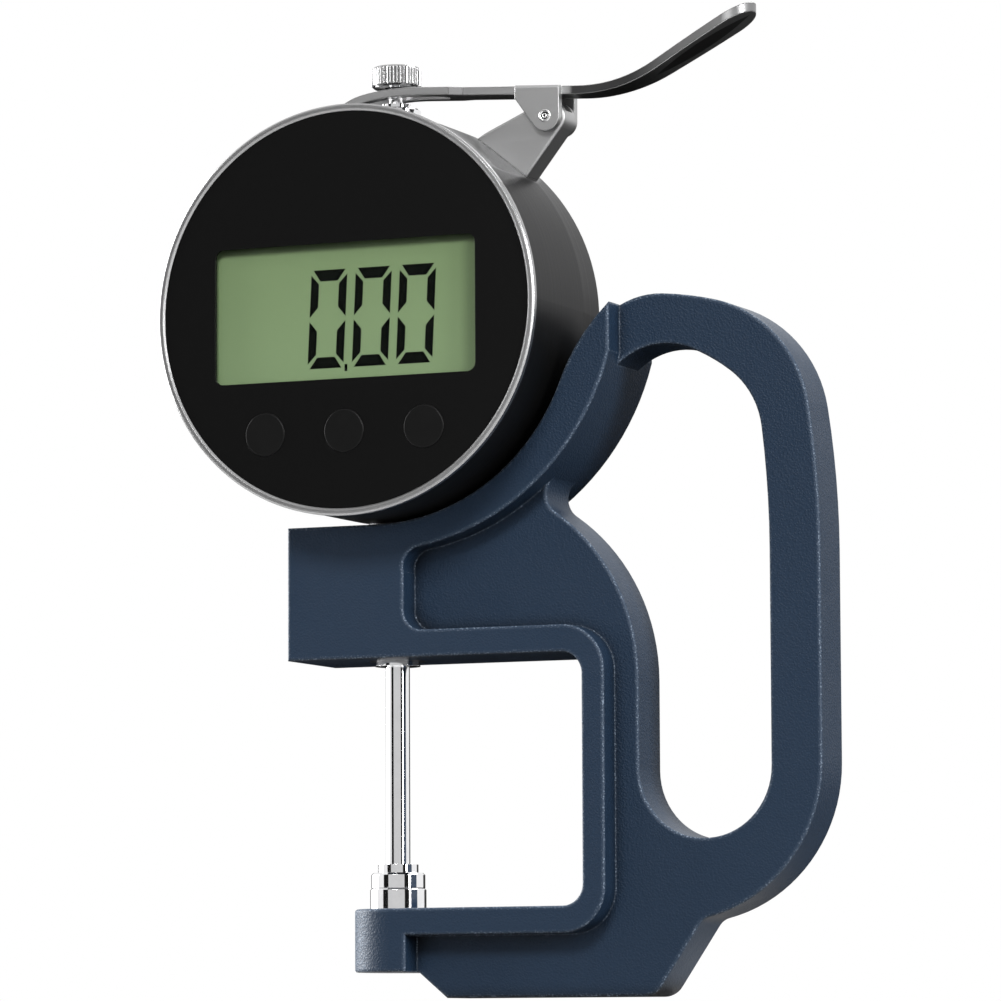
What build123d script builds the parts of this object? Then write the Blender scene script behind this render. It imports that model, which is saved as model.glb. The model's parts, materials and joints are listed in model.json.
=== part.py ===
from build123d import *
from math import acos, asin, atan2, cos, degrees, hypot, pi, radians, sin, sqrt, tan
import os

# A hand-held digital thickness gauge with a C-shaped frame, a D-handle and a lifting lever.
# Millimetres. The origin is the middle of the frame's flat base. +Z points up along the
# spindle, +X towards the handle, and the dial faces -Y. The spindle's axis is at y = 0.

# Layout of the whole gauge
SPINDLE_X = -24.5
DIAL_Z = 94.2
ANVIL_FACE_Z = 15.25
TRAVEL = 10.0

# Clearances
SLIDE_CLEARANCE = 0.03
SEAT_CLEARANCE = 0.01
SMALL_GAP = 0.05

# Frame casting
WEB_THICKNESS = 8.2
BAND_THICKNESS = 16.2
FRAME_EDGE = 0.4
BASE_HALF_LENGTH = 15.4
BASE_CORNER = 1.6
FOOT_CHAMFER = (4.3, 3.6)
JAW_OVERHANG = 13.2
JAW_UNDER_DROP = 47.45
THROAT_DEPTH = 31.0
THROAT_CORNER = 3.0
ARM_TOP_Z = 12.3
RIM_WIDTH = 3.3
JAW_RIM_HEIGHT = 3.75
RIM_CORNER = 6.2
ARM_RIM_DEPTH = 3.7
BOSS_NOSE_OFFSET = 2.3
BOSS_BACK_OFFSET = 4.65
POCKET_LEFT_OFFSET = 4.5
POCKET_CORNER = 2.8
CRADLE_ROOM = 1.35
CRADLE_SHIFT = (0.5, 0.8)
CRADLE_END_ANGLE = -21.8
CRADLE_WALL = 5.73
CRADLE_WALL_SHIFT = (1.16, 2.72)
CRADLE_TIP_INSET = 0.08
CRADLE_TIP_RISE = 0.15
CRADLE_LIP = 0.45
HANDLE_REACH = 28.85
HANDLE_RISE = 1.4
HANDLE_SIDE_DROP = 35.6
HANDLE_WIDTH = 7.3
HANDLE_OUTER = ((22.6, 0.0), (14.8, 1.3), (1.5, 16.0))
HANDLE_INNER = ((18.4, 7.8), (12.8, 11.1), (8.3, 19.0))
HAND_HOLE_WEB = 3.45
HAND_HOLE_LOW_Z = 30.8
HOLE_PEAK_DROP = 9.5
HEEL_OFFSET = 3.0
HEEL_Z = 31.3
HEEL_ANGLE = 76.7
INSTEP = (6.4, 9.5)
HAND_HOLE_CORNER = 3.0
GRIP_CURVE_RADIUS = 28.1
GRIP_CURVE_Z = 43.2

# Anvil and its screw
ANVIL_DIAMETER = 7.8
ANVIL_SHANK = 4.0
ANVIL_SHANK_LENGTH = 6.5
ANVIL_CHAMFER = 0.25
SET_SCREW_DIAMETER = 3.0
SET_SCREW_LENGTH = 5.0
HEX_SOCKET = 1.5

# Spindle
ROD_DIAMETER = 3.35
TOP_ROD_DIAMETER = 2.1
SHOULDER_ABOVE_DIAL = 8.0
KNOB_DIAMETER = 7.06
KNOB_HEIGHT = 2.95
KNOB_RISE = 2.35
KNOB_FLUTES = 30
KNOB_FLUTE_DEPTH = 0.26
KNOB_CHAMFER = 0.35
KNOB_SEAT = 0.7
CONTACT_DIAMETER = 7.5
CONTACT_HEIGHT = 2.1
CONTACT_FLANGE = 5.6
CONTACT_FLANGE_HEIGHT = 1.15
CONTACT_STUD = 2.0
CONTACT_STUD_LENGTH = 4.0
CONTACT_GAP = 0.02

# Stem and bushes
STEM_DIAMETER = 8.0
STEM_BORE = 5.0
BUSH_FLANGE = 6.3
BUSH_FLANGE_HEIGHT = 0.7
BUSH_LENGTH = 12.0
COLLAR_DIAMETER = 7.0
COLLAR_RISE = 1.95
COLLAR_TIER = 4.2
COLLAR_TIER_HEIGHT = 0.75
COLLAR_THREAD = 5.4
COLLAR_SEAT_DROP = 0.3
CLAMP_SCREW_DIAMETER = 4.0
CLAMP_SCREW_DROP = 9.0

# Dial case, sizes along the depth are distances in front of the spindle plane
CASE_RADIUS = 28.35
CASE_BACK_STEP = 0.45
CASE_WALL = 1.95
CASE_FRONT = 16.7
CASE_BACK = 8.0
CASE_BACK_ROUND = 0.8
CASE_FLOOR = 1.6
CASE_OPENING_LEDGE = 2.6
BRACKET_FLAT_DEPTH = 0.45
BRACKET_FLAT_FRONT = 14.0
STEM_BOSS = (6.0, 5.6, 3.0)
COLLAR_BOSS = (4.4, 4.4, 1.6)

# Bezel ring and front panel
RING_OVERHANG = 0.15
RING_WIDTH = 1.0
RING_FRONT = 17.72
RING_SKIRT = 0.35
RING_SKIRT_DEPTH = 1.1
RING_BEVEL = 0.25
PANEL_FRONT = 17.5
PANEL_THICKNESS = 1.3
WINDOW_SIDE_MARGIN = 6.7
WINDOW_HEIGHT_MARGIN = 7.5
WINDOW_RISE = -0.15
WINDOW_CORNER = 1.2
WINDOW_LEDGE = 1.0
LENS_THICKNESS = 0.8

# Keys
KEY_DIAMETER = 6.0
KEY_SPACING = 12.0
KEY_BELOW_WINDOW = 7.35
KEY_TRAVEL = 0.4
KEY_PROUD = 0.1
KEY_FLANGE = 7.2
KEY_FLANGE_THICKNESS = 0.6
KEY_STEM = 2.6
KEY_CHAMFER = 0.2
SWITCH_SIZE = 4.6
SWITCH_HEIGHT = 2.0
SWITCH_BUTTON = 2.4
SWITCH_BUTTON_HEIGHT = 0.5

# Display and boards
CELL_MARGIN = 0.8
CELL_THICKNESS = 2.1
CELL_CORNER = 0.4
CELL_LEDGE = 0.5
FRAME_WALL = 1.2
STRIP_WIDTH = 1.8
BOARD_ROOM = 0.3
BOARD_THICKNESS = 1.2
BOARD_FRONT = 10.1
POST_RADIUS = 2.4
POST_INSET = 2.0
POST_ANGLES = (53.0, 127.0, 219.0, 321.0)
BOARD_SCREW = 2.0
BOARD_SCREW_HEAD = 3.4
BOARD_SCREW_HEAD_HEIGHT = 1.0
BOARD_SCREW_LENGTH = 6.0
READER_SIZE = (16.0, 18.0)
READER_THICKNESS = 0.8
HEADER_OFFSET = 6.6
HEADER_WIDTH = 1.6

# Back cover, battery and cap
COVER_INSET = 3.55
COVER_THICKNESS = 1.6
COVER_SCREW_INSET = 1.4
COVER_SCREW = 1.6
COVER_SCREW_HEAD = 2.6
COVER_SCREW_HEAD_HEIGHT = 0.9
COVER_SCREW_LENGTH = 3.2
COVER_SCREW_ANGLES = (20.0, 110.0, 200.0, 290.0)
BATTERY_DIAMETER = 11.6
BATTERY_HEIGHT = 5.4
BATTERY_ROOM = 0.3
BATTERY_WELL_WALL = 1.1
BATTERY_WELL_FLOOR = 0.8
CAP_DIAMETER = 15.2
CAP_THICKNESS = 1.15
CAP_SLOT = (9.0, 1.5, 0.6)
CONTACT_STRIP = 0.3

# Scale, guide and return spring
CARRIER_SIZE = (9.0, 5.8, 8.0)
CARRIER_REAR = 3.2
CARRIER_BAR = (7.0, 26.0)
CARRIER_BAR_RISE = -3.0
CARRIER_BAR_THICKNESS = 2.1
SCALE_WIDTH = 6.0
SCALE_THICKNESS = 0.6
SCALE_GAP = 0.4
GUIDE_PIN = 2.0
GUIDE_PIN_LENGTH = 3.5
GUIDE_PIN_DROP = 2.0
RIDGE_WIDTH = 1.3
RIDGE_DEPTH = 2.0
RIDGE_LOW = -7.0
RIDGE_HIGH = 13.0
GRUB_SCREW = 1.6
GRUB_SCREW_RISE = 1.8
SPRING_X = -8.0
SPRING_DIAMETER = 2.6
SPRING_WIRE = 0.4
SPRING_TURNS = 11
SPRING_POST_INSET = 4.7
SPRING_HIGH = 1.0
SPRING_PIN = 1.2
SPRING_BOSS = 4.0
SPRING_BOSS_HEIGHT = 2.4
SPRING_RING = 0.6
LUG_FRONT = 1.5
LUG_DEPTH = 1.6

# Lifting lever
SHEET = 1.15
PIN_DIAMETER = 1.4
PIN_HEAD = 1.8
PIN_HEAD_HEIGHT = 0.15
PIN_DIMPLE = 0.7
LEVER_APEX_X = 2.0
LEVER_UNDER_KNOB = 0.43
LEVER_BOW_RADIUS = 32.7
LEVER_TOE_RADIUS = 9.0
LEVER_TOE_X = -4.0
LEVER_TIP_X = -7.5
LEVER_SLOPE = 3.55
LEVER_BEND_OFFSET = 4.3
LEVER_BEND_RADIUS = 22.0
PAD_SLOPE = 28.0
PAD_REACH = 25.6
FORK_WIDTH = 5.4
FORK_SLOT = 2.6
SLOT_END_X = 8.2
ARM_WIDTH = 4.3
NECK_WIDTH = 4.4
PAD_WIDTH = 7.0
EAR_GAP = 4.4
EAR_LEFT = 4.5
EAR_RADIUS = 2.1
EAR_SHOULDER = 2.7
DISH_LENGTH = 12.5
DISH_WIDTH = 4.4
DISH_DEPTH = 0.45
DISH_TAPER = 40.0

# Lever bracket
BRACKET_WIDTH = 4.2
BRACKET_SHEET = 0.85
BRACKET_ANGLE = 51.5
BRACKET_PIN = (1.866, 8.468)
BRACKET_LEFT = 5.1
BRACKET_HEAD = 2.45
BRACKET_SHOULDER = (-4.4, 1.9)
BRACKET_WRAP = 60.0
BRACKET_SCREW = 1.6
BRACKET_SCREW_HEAD = 2.3
BRACKET_SCREW_HEAD_HEIGHT = 0.8
BRACKET_SCREW_LENGTH = 3.0
BRACKET_SCREW_SEATS = (-2.9, 0.9)
LEVER_SPRING_WIRE = 0.3
LEVER_SPRING_TURNS = 4
LEVER_SPRING_LEGS = (2.5, 4.0)

# Worked out from the sizes above
BAND_HALF = BAND_THICKNESS / 2
WEB_HALF = WEB_THICKNESS / 2
JAW_UNDER_Z = DIAL_Z - JAW_UNDER_DROP
THROAT_X = SPINDLE_X + THROAT_DEPTH
RIM_X = THROAT_X + RIM_WIDTH
CRADLE_RADIUS = CASE_RADIUS + CRADLE_ROOM
CRADLE_WALL_RADIUS = CRADLE_RADIUS + CRADLE_WALL
CRADLE_X = SPINDLE_X + CRADLE_SHIFT[0]
CRADLE_Z = DIAL_Z + CRADLE_SHIFT[1]
WALL_X = SPINDLE_X + CRADLE_WALL_SHIFT[0]
WALL_Z = DIAL_Z + CRADLE_WALL_SHIFT[1]
JAW_TOP_Z = CRADLE_Z - CRADLE_RADIUS
JAW_LEFT_X = SPINDLE_X - JAW_OVERHANG
POCKET_X = SPINDLE_X + POCKET_LEFT_OFFSET
POCKET_LOW_Z = JAW_UNDER_Z + JAW_RIM_HEIGHT
ARM_UNDER_Z = ARM_TOP_Z - ARM_RIM_DEPTH
BOSS_BACK_X = SPINDLE_X + BOSS_BACK_OFFSET
NOSE_X = SPINDLE_X + BOSS_NOSE_OFFSET
TIP_X = SPINDLE_X + CRADLE_WALL_RADIUS - CRADLE_TIP_INSET
TIP_Z = DIAL_Z + CRADLE_TIP_RISE
HANDLE_RIGHT_X = TIP_X + HANDLE_REACH
HANDLE_TOP_Z = DIAL_Z + HANDLE_RISE
HANDLE_SIDE_TOP_Z = HANDLE_TOP_Z - HANDLE_SIDE_DROP
HAND_HOLE_LEFT_X = RIM_X + HAND_HOLE_WEB
HOLE_RIGHT_X = HANDLE_RIGHT_X - HANDLE_WIDTH
HOLE_RADIUS = (HOLE_RIGHT_X - HAND_HOLE_LEFT_X) / 2
HEEL_X = BASE_HALF_LENGTH + HEEL_OFFSET
CASE_INNER = CASE_RADIUS - CASE_WALL
CASE_BACK_RADIUS = CASE_RADIUS - CASE_BACK_STEP
RING_RADIUS = CASE_RADIUS + RING_OVERHANG
RING_INNER_RADIUS = RING_RADIUS - RING_WIDTH
COVER_RADIUS = CASE_RADIUS - COVER_INSET
COVER_SCREW_CIRCLE = COVER_RADIUS - COVER_SCREW_INSET
CASE_OPENING_RADIUS = COVER_RADIUS - CASE_OPENING_LEDGE
BOARD_RADIUS = CASE_INNER - BOARD_ROOM
POST_CIRCLE = CASE_INNER - POST_INSET
WINDOW_WIDTH = 2 * (CASE_INNER - WINDOW_SIDE_MARGIN)
WINDOW_HEIGHT = CASE_INNER - WINDOW_HEIGHT_MARGIN
KEY_DROP = WINDOW_HEIGHT / 2 + KEY_BELOW_WINDOW
PANEL_BACK = PANEL_FRONT - PANEL_THICKNESS
PANEL_RADIUS = RING_INNER_RADIUS - SMALL_GAP
LENS_BACK = PANEL_BACK
CELL_FRONT = LENS_BACK - SMALL_GAP
CELL_BACK = CELL_FRONT - CELL_THICKNESS
BOARD_BACK = BOARD_FRONT - BOARD_THICKNESS
ROD_RADIUS = ROD_DIAMETER / 2
TOP_ROD_RADIUS = TOP_ROD_DIAMETER / 2
COLLAR_TIER_Z = DIAL_Z + CASE_RADIUS + COLLAR_RISE
KNOB_UNDER_Z = COLLAR_TIER_Z + COLLAR_TIER_HEIGHT + KNOB_RISE
COVER_INNER = CASE_BACK - COVER_THICKNESS
FLOOR_INNER = COVER_INNER - CASE_FLOOR
CLAMP_SCREW_Z = JAW_TOP_Z - CLAMP_SCREW_DROP
SET_SCREW_Z = (ARM_TOP_Z + FOOT_CHAMFER[1]) / 2
CONTACT_TOP_Z = ANVIL_FACE_Z + CONTACT_GAP + CONTACT_HEIGHT + CONTACT_FLANGE_HEIGHT
COLLAR_SEAT_Z = DIAL_Z + CASE_RADIUS - COLLAR_SEAT_DROP
LENS_WIDTH = WINDOW_WIDTH + 2 * WINDOW_LEDGE
LENS_HEIGHT = WINDOW_HEIGHT + 2 * WINDOW_LEDGE
CELL_WIDTH = WINDOW_WIDTH + 2 * CELL_MARGIN
CELL_HEIGHT = WINDOW_HEIGHT + 2 * CELL_MARGIN
KEY_PLACES = (SPINDLE_X - KEY_SPACING, SPINDLE_X, SPINDLE_X + KEY_SPACING)
KEY_Z = DIAL_Z - KEY_DROP
SWITCH_FRONT = BOARD_FRONT + SWITCH_HEIGHT + SWITCH_BUTTON_HEIGHT
BATTERY_AT = SPINDLE_X + (CARRIER_SIZE[0] / 2 + CASE_OPENING_RADIUS) / 2
BATTERY_BORE = BATTERY_DIAMETER / 2 + BATTERY_ROOM
WELL_INNER = CASE_BACK - CAP_THICKNESS - SMALL_GAP - BATTERY_HEIGHT - CONTACT_STRIP
SPRING_AT = SPINDLE_X + SPRING_X
SPRING_LOW = SPRING_POST_INSET - CASE_OPENING_RADIUS
BAR_FRONT = CARRIER_SIZE[1] - CARRIER_REAR + CARRIER_BAR_THICKNESS
READER_BACK = BAR_FRONT + SCALE_THICKNESS + SCALE_GAP
GUIDE_PIN_Z = DIAL_Z - GUIDE_PIN_DROP
BRACKET_FLAT_DISTANCE = CASE_RADIUS - BRACKET_FLAT_DEPTH
BRACKET_COS, BRACKET_SIN = cos(radians(BRACKET_ANGLE)), sin(radians(BRACKET_ANGLE))
BRACKET_FOOT = (SPINDLE_X + BRACKET_FLAT_DISTANCE * BRACKET_COS, 0,
                DIAL_Z + BRACKET_FLAT_DISTANCE * BRACKET_SIN)
BRACKET_PLACE = Plane(origin=BRACKET_FOOT, x_dir=(BRACKET_SIN, 0, -BRACKET_COS),
                      z_dir=(BRACKET_COS, 0, BRACKET_SIN)).location
PIVOT_HEIGHT = BRACKET_FLAT_DISTANCE + BRACKET_PIN[1]
PIVOT = (BRACKET_PIN[0] * BRACKET_SIN + PIVOT_HEIGHT * BRACKET_COS,
         PIVOT_HEIGHT * BRACKET_SIN - BRACKET_PIN[0] * BRACKET_COS)
LEVER_APEX = (LEVER_APEX_X, KNOB_UNDER_Z - DIAL_Z - LEVER_UNDER_KNOB)
LEVER_BEND_X = PIVOT[0] + LEVER_BEND_OFFSET
PAD_END_X = LEVER_BEND_X + PAD_REACH


def rod(radius, low, high, x=SPINDLE_X, y=0.0):
    """An upright cylinder from one height to another."""
    return Pos(x, y, (low + high) / 2) * Cylinder(radius, high - low)


def disc(radius, front, back, x=SPINDLE_X, z=DIAL_Z):
    """A cylinder along the depth, between two places along Y."""
    return Pos(x, (front + back) / 2, z) * Rot(90, 0, 0) * Cylinder(radius, back - front)


def block(left, right, front, back, low, high):
    """A box given by its six sides."""
    centre = ((left + right) / 2, (front + back) / 2, (low + high) / 2)
    return Pos(*centre) * Box(right - left, back - front, high - low)


def slab(edges, thickness):
    """The region inside a closed outline in the XZ plane, thickened evenly about y = 0."""
    face = Plane.XZ * Face(Wire(edges))
    return extrude(face, thickness / 2, both=True)


def lines(points):
    """Straight edges from point to point."""
    return [Line(a, b) for a, b in zip(points, points[1:])]


def arcs(start, direction, points):
    """Arcs through the points, each one tangent to the one before."""
    edges = []
    for point in points:
        edge = TangentArc(start, point, tangent=direction)
        edges.append(edge)
        start = point
        direction = edge % 1
    return edges


def corner(start, centre, radius, angle_from, angle_to):
    """An arc about a centre, and the line to it from the last point."""
    arc = CenterArc(centre, radius, angle_from, angle_to - angle_from)
    edges = [] if (arc @ 0 - Vector(*start)).length < 1e-4 else [Line(start, arc @ 0)]
    return edges + [arc]


def on_circle(radius, angle, centre=(SPINDLE_X, DIAL_Z)):
    """A point on a circle about the dial's centre."""
    return (centre[0] + radius * cos(radians(angle)), centre[1] + radius * sin(radians(angle)))


def turned(points):
    """A solid turned about the dial's axis from (radius, y) points."""
    edges = lines(points + points[:1])
    return Pos(SPINDLE_X, 0, DIAL_Z) * revolve(Face(Wire(edges)), Axis.Y)


def shell_boss(size, side):
    """A boss inside the case's wall, above or below the dial's centre."""
    half_width, half_depth, height = size
    inner = DIAL_Z + side * (CASE_INNER - height)
    outer = DIAL_Z + side * (CASE_INNER + 0.6)
    low, high = min(inner, outer), max(inner, outer)
    return block(SPINDLE_X - half_width, SPINDLE_X + half_width, -half_depth, half_depth, low, high)


def window(width, height, depth, radius):
    """A rounded rectangle about the window's centre, along the depth."""
    shape = Plane.XZ * RectangleRounded(width, height, radius)
    return Pos(SPINDLE_X, 0, DIAL_Z + WINDOW_RISE) * extrude(shape, depth, both=True)


def set_screw(diameter, length):
    """A grub screw along +Y from the origin, with a hexagon socket at its outer end."""
    radius = diameter / 2
    body = Pos(0, length / 2, 0) * Rot(90, 0, 0) * Cylinder(radius, length)
    tip = body.faces().sort_by(Axis.Y)[0].edges()
    body = chamfer(tip, radius / 3)
    socket = Plane.XZ.offset(-length) * RegularPolygon(HEX_SOCKET * diameter / 6, 6)
    return body - extrude(socket, length / 2)


def headed_screw(diameter, length, head, head_height):
    """A slotted cheese-head screw along +Z, the seat of its head at the origin."""
    shank = Pos(0, 0, -length / 2) * Cylinder(diameter / 2, length)
    top = Pos(0, 0, head_height / 2) * Cylinder(head / 2, head_height)
    top = fillet(top.edges().sort_by(Axis.Z)[-1], head_height / 4)
    slot = Pos(0, 0, head_height) * Box(head * 1.2, head / 6, head_height)
    return shank + (top - slot)


def at_head(x, z):
    """A point given from the dial's centre."""
    return (SPINDLE_X + x, DIAL_Z + z)


def cradle_edges():
    """The jaw's top, the cradle's inner arc and its flared tip, from left to right."""
    start = (JAW_LEFT_X, JAW_TOP_Z)
    low = (CRADLE_X, JAW_TOP_Z)
    arc = CenterArc((CRADLE_X, CRADLE_Z), CRADLE_RADIUS, -90, 90 + CRADLE_END_ANGLE)
    lip = (TIP_X - CRADLE_LIP, TIP_Z - CRADLE_LIP)
    flare = TangentArc(arc @ 1, lip, tangent=arc % 1)
    return [Line(start, low), arc, flare, Line(lip, (TIP_X, TIP_Z))]


def handle_points(insets):
    """Points given inwards and down from the handle's top right, from the lowest to the highest."""
    return [(HANDLE_RIGHT_X - x, HANDLE_TOP_Z - z) for x, z in reversed(insets)]


def throat_edges():
    """The measuring throat, from the boss's nose round to the jaw's left side."""
    low_centre = (THROAT_X - THROAT_CORNER, ARM_TOP_Z + THROAT_CORNER)
    high_centre = (THROAT_X - THROAT_CORNER, JAW_UNDER_Z - THROAT_CORNER)
    nose = NOSE_X - BAND_HALF
    edges = corner((nose, ARM_TOP_Z), low_centre, THROAT_CORNER, -90, 0)
    edges += corner(edges[-1] @ 1, high_centre, THROAT_CORNER, 0, 90)
    end = [edges[-1] @ 1, (JAW_LEFT_X, JAW_UNDER_Z), (JAW_LEFT_X, JAW_TOP_Z)]
    return edges + lines(end)


def outline_edges():
    """The whole frame seen from the front, without its hand hole."""
    edges = cradle_edges()
    side = (HANDLE_RIGHT_X, HANDLE_SIDE_TOP_Z)
    edges += arcs(side, (0, 1), handle_points(HANDLE_OUTER) + [(TIP_X, TIP_Z)])
    heel = CenterArc((HEEL_X, HEEL_Z), HANDLE_RIGHT_X - HEEL_X, 0, -HEEL_ANGLE)
    edges += [Line(side, heel @ 0), heel]
    foot = Vector(BASE_HALF_LENGTH, 0)
    instep = foot + Vector(*INSTEP)
    edges.append(TangentArc(heel @ 1, instep, tangent=heel % 1))
    climb = (instep - foot).normalized()
    edges += [Line(instep, foot + climb * BASE_CORNER)]
    inner = (BASE_HALF_LENGTH - BASE_CORNER, 0)
    edges.append(TangentArc(foot + climb * BASE_CORNER, inner, tangent=-climb))
    toe = (-BASE_HALF_LENGTH, 0)
    knee = (toe[0] - FOOT_CHAMFER[0], FOOT_CHAMFER[1])
    nose = NOSE_X - BAND_HALF
    edges += lines([inner, toe, knee, (nose, FOOT_CHAMFER[1]), (nose, ARM_TOP_Z)])
    return edges + throat_edges()


def band_edges():
    """The thick band: jaw, cradle, rim of the throat and boss."""
    edges = cradle_edges()
    cut_angle = -acos((TIP_X - WALL_X) / CRADLE_WALL_RADIUS)
    cut_z = WALL_Z + CRADLE_WALL_RADIUS * sin(cut_angle)
    pocket_top = (POCKET_X + POCKET_CORNER * 0.8, 0)
    wall_angle = -acos((pocket_top[0] - WALL_X) / CRADLE_WALL_RADIUS)
    wall = CenterArc((WALL_X, WALL_Z), CRADLE_WALL_RADIUS, degrees(cut_angle),
                     degrees(wall_angle - cut_angle))
    edges += [Line((TIP_X, TIP_Z), (TIP_X, cut_z)), wall]
    down = (POCKET_X, (wall @ 1).Y - POCKET_CORNER * 1.2)
    edges.append(TangentArc(wall @ 1, down, tangent=wall % 1))
    low = (POCKET_X + POCKET_CORNER, POCKET_LOW_Z + POCKET_CORNER)
    edges += corner(down, low, POCKET_CORNER, 180, 270)
    high_rim = (RIM_X - RIM_CORNER, POCKET_LOW_Z - RIM_CORNER)
    low_rim = (RIM_X - RIM_CORNER, ARM_UNDER_Z + RIM_CORNER)
    edges += corner(edges[-1] @ 1, high_rim, RIM_CORNER, 90, 0)
    edges += corner(edges[-1] @ 1, low_rim, RIM_CORNER, 0, -90)
    nose = NOSE_X - BAND_HALF
    end = [edges[-1] @ 1, (BOSS_BACK_X, ARM_UNDER_Z), (BOSS_BACK_X, FOOT_CHAMFER[1])]
    end += [(nose, FOOT_CHAMFER[1]), (nose, ARM_TOP_Z)]
    return edges + lines(end) + throat_edges()


def hand_hole_edges():
    """The hand hole between the cradle's wall, the handle and the web."""
    side = (HOLE_RIGHT_X, HANDLE_SIDE_TOP_Z)
    edges = arcs(side, (0, 1), handle_points(HANDLE_INNER))
    meet_angle = asin((WALL_Z - HANDLE_TOP_Z + HOLE_PEAK_DROP) / CRADLE_WALL_RADIUS)
    meet = Vector(WALL_X + CRADLE_WALL_RADIUS * cos(meet_angle), HANDLE_TOP_Z - HOLE_PEAK_DROP)
    edges.append(TangentArc(edges[-1] @ 1, meet, tangent=edges[-1] % 1))
    grip_x, grip_z = HAND_HOLE_LEFT_X - GRIP_CURVE_RADIUS, GRIP_CURVE_Z
    spread = hypot(grip_x - WALL_X, grip_z - WALL_Z)
    to_wall, to_grip = CRADLE_WALL_RADIUS + HAND_HOLE_CORNER, GRIP_CURVE_RADIUS + HAND_HOLE_CORNER
    line_angle = atan2(grip_z - WALL_Z, grip_x - WALL_X)
    wall_end = line_angle + acos((to_wall ** 2 - to_grip ** 2 + spread ** 2) / (2 * to_wall * spread))
    centre = (WALL_X + to_wall * cos(wall_end), WALL_Z + to_wall * sin(wall_end))
    grip_start = atan2(centre[1] - grip_z, centre[0] - grip_x)
    wall_turn = degrees(wall_end + meet_angle)
    wall = CenterArc((WALL_X, WALL_Z), CRADLE_WALL_RADIUS, degrees(-meet_angle), wall_turn)
    notch = CenterArc(centre, HAND_HOLE_CORNER, degrees(wall_end) + 180, degrees(grip_start - wall_end))
    grip = CenterArc((grip_x, grip_z), GRIP_CURVE_RADIUS, degrees(grip_start), -degrees(grip_start))
    bottom = CenterArc((HAND_HOLE_LEFT_X + HOLE_RADIUS, HAND_HOLE_LOW_Z), HOLE_RADIUS, 180, 180)
    return edges + [wall, notch, grip, Line(grip @ 1, bottom @ 0), bottom, Line(bottom @ 1, side)]


def round_faces(solid, front, radius, skip_x=None):
    """Round the edges of the flat faces at both ends of the depth."""
    edges = []
    for edge in solid.edges():
        box = edge.bounding_box()
        flat = abs(box.max.Y - box.min.Y) < 1e-4 and abs(abs(box.max.Y) - front) < 1e-4
        skipped = skip_x is not None and max(abs(box.min.X - skip_x), abs(box.max.X - skip_x)) < 1e-3
        if flat and not skipped:
            edges.append(edge)
    return fillet(edges, radius)


def make_frame():
    """The painted casting with its bores."""
    web = slab(outline_edges(), WEB_THICKNESS) - slab(hand_hole_edges(), WEB_THICKNESS * 2)
    web = round_faces(web, WEB_HALF, FRAME_EDGE)
    band = round_faces(slab(band_edges(), BAND_THICKNESS), BAND_HALF, FRAME_EDGE, NOSE_X - BAND_HALF)
    nose = rod(BAND_HALF, FOOT_CHAMFER[1], ARM_TOP_Z, NOSE_X)
    nose = fillet(nose.edges().filter_by(GeomType.CIRCLE), FRAME_EDGE)
    beyond = block(NOSE_X - BAND_HALF - 1, NOSE_X, -BAND_HALF - 1, BAND_HALF + 1,
                   FOOT_CHAMFER[1] - 1, ARM_TOP_Z + 1) - nose
    frame = web + band - beyond
    frame -= rod(STEM_DIAMETER / 2 + SEAT_CLEARANCE, JAW_UNDER_Z - 1, JAW_TOP_Z + 1)
    frame -= rod(ANVIL_SHANK / 2 + SEAT_CLEARANCE, ARM_TOP_Z - ANVIL_SHANK_LENGTH - 0.3, ARM_TOP_Z + 1)
    frame -= disc(CLAMP_SCREW_DIAMETER / 2 + SEAT_CLEARANCE, 0, BAND_HALF + 1, SPINDLE_X, CLAMP_SCREW_Z)
    frame -= disc(SET_SCREW_DIAMETER / 2 + SEAT_CLEARANCE, 0, BAND_HALF + 1, SPINDLE_X, SET_SCREW_Z)
    return frame


def make_anvil():
    """The flat anvil with its shank."""
    head = rod(ANVIL_DIAMETER / 2, ARM_TOP_Z, ANVIL_FACE_Z)
    head = chamfer(head.edges().filter_by(GeomType.CIRCLE).sort_by(Axis.Z)[-1], ANVIL_CHAMFER)
    return head + rod(ANVIL_SHANK / 2, ARM_TOP_Z - ANVIL_SHANK_LENGTH, ARM_TOP_Z)


def make_anvil_set_screw():
    """The grub screw that holds the anvil's shank."""
    seat = ANVIL_SHANK / 2 + SMALL_GAP
    return Pos(SPINDLE_X, seat, SET_SCREW_Z) * set_screw(SET_SCREW_DIAMETER, SET_SCREW_LENGTH)


def make_stem():
    """The tube that the frame's jaw clamps."""
    top = DIAL_Z - CASE_INNER + STEM_BOSS[2]
    return rod(STEM_DIAMETER / 2, JAW_UNDER_Z, top) - rod(STEM_BORE / 2, JAW_UNDER_Z - 1, top + 1)


def make_lower_bush():
    """The flanged guide bush in the stem's lower end."""
    flange = rod(BUSH_FLANGE / 2, JAW_UNDER_Z - BUSH_FLANGE_HEIGHT, JAW_UNDER_Z)
    body = rod(STEM_BORE / 2 - SEAT_CLEARANCE, JAW_UNDER_Z, JAW_UNDER_Z + BUSH_LENGTH)
    bore = rod(ROD_RADIUS + SLIDE_CLEARANCE, JAW_UNDER_Z - 2, JAW_UNDER_Z + BUSH_LENGTH + 1)
    return flange + body - bore


def make_stem_clamp_screw():
    """The grub screw in the back of the jaw."""
    seat = STEM_DIAMETER / 2 + SMALL_GAP
    length = BAND_HALF - seat - 0.3
    return Pos(SPINDLE_X, seat, CLAMP_SCREW_Z) * set_screw(CLAMP_SCREW_DIAMETER, length)


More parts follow.
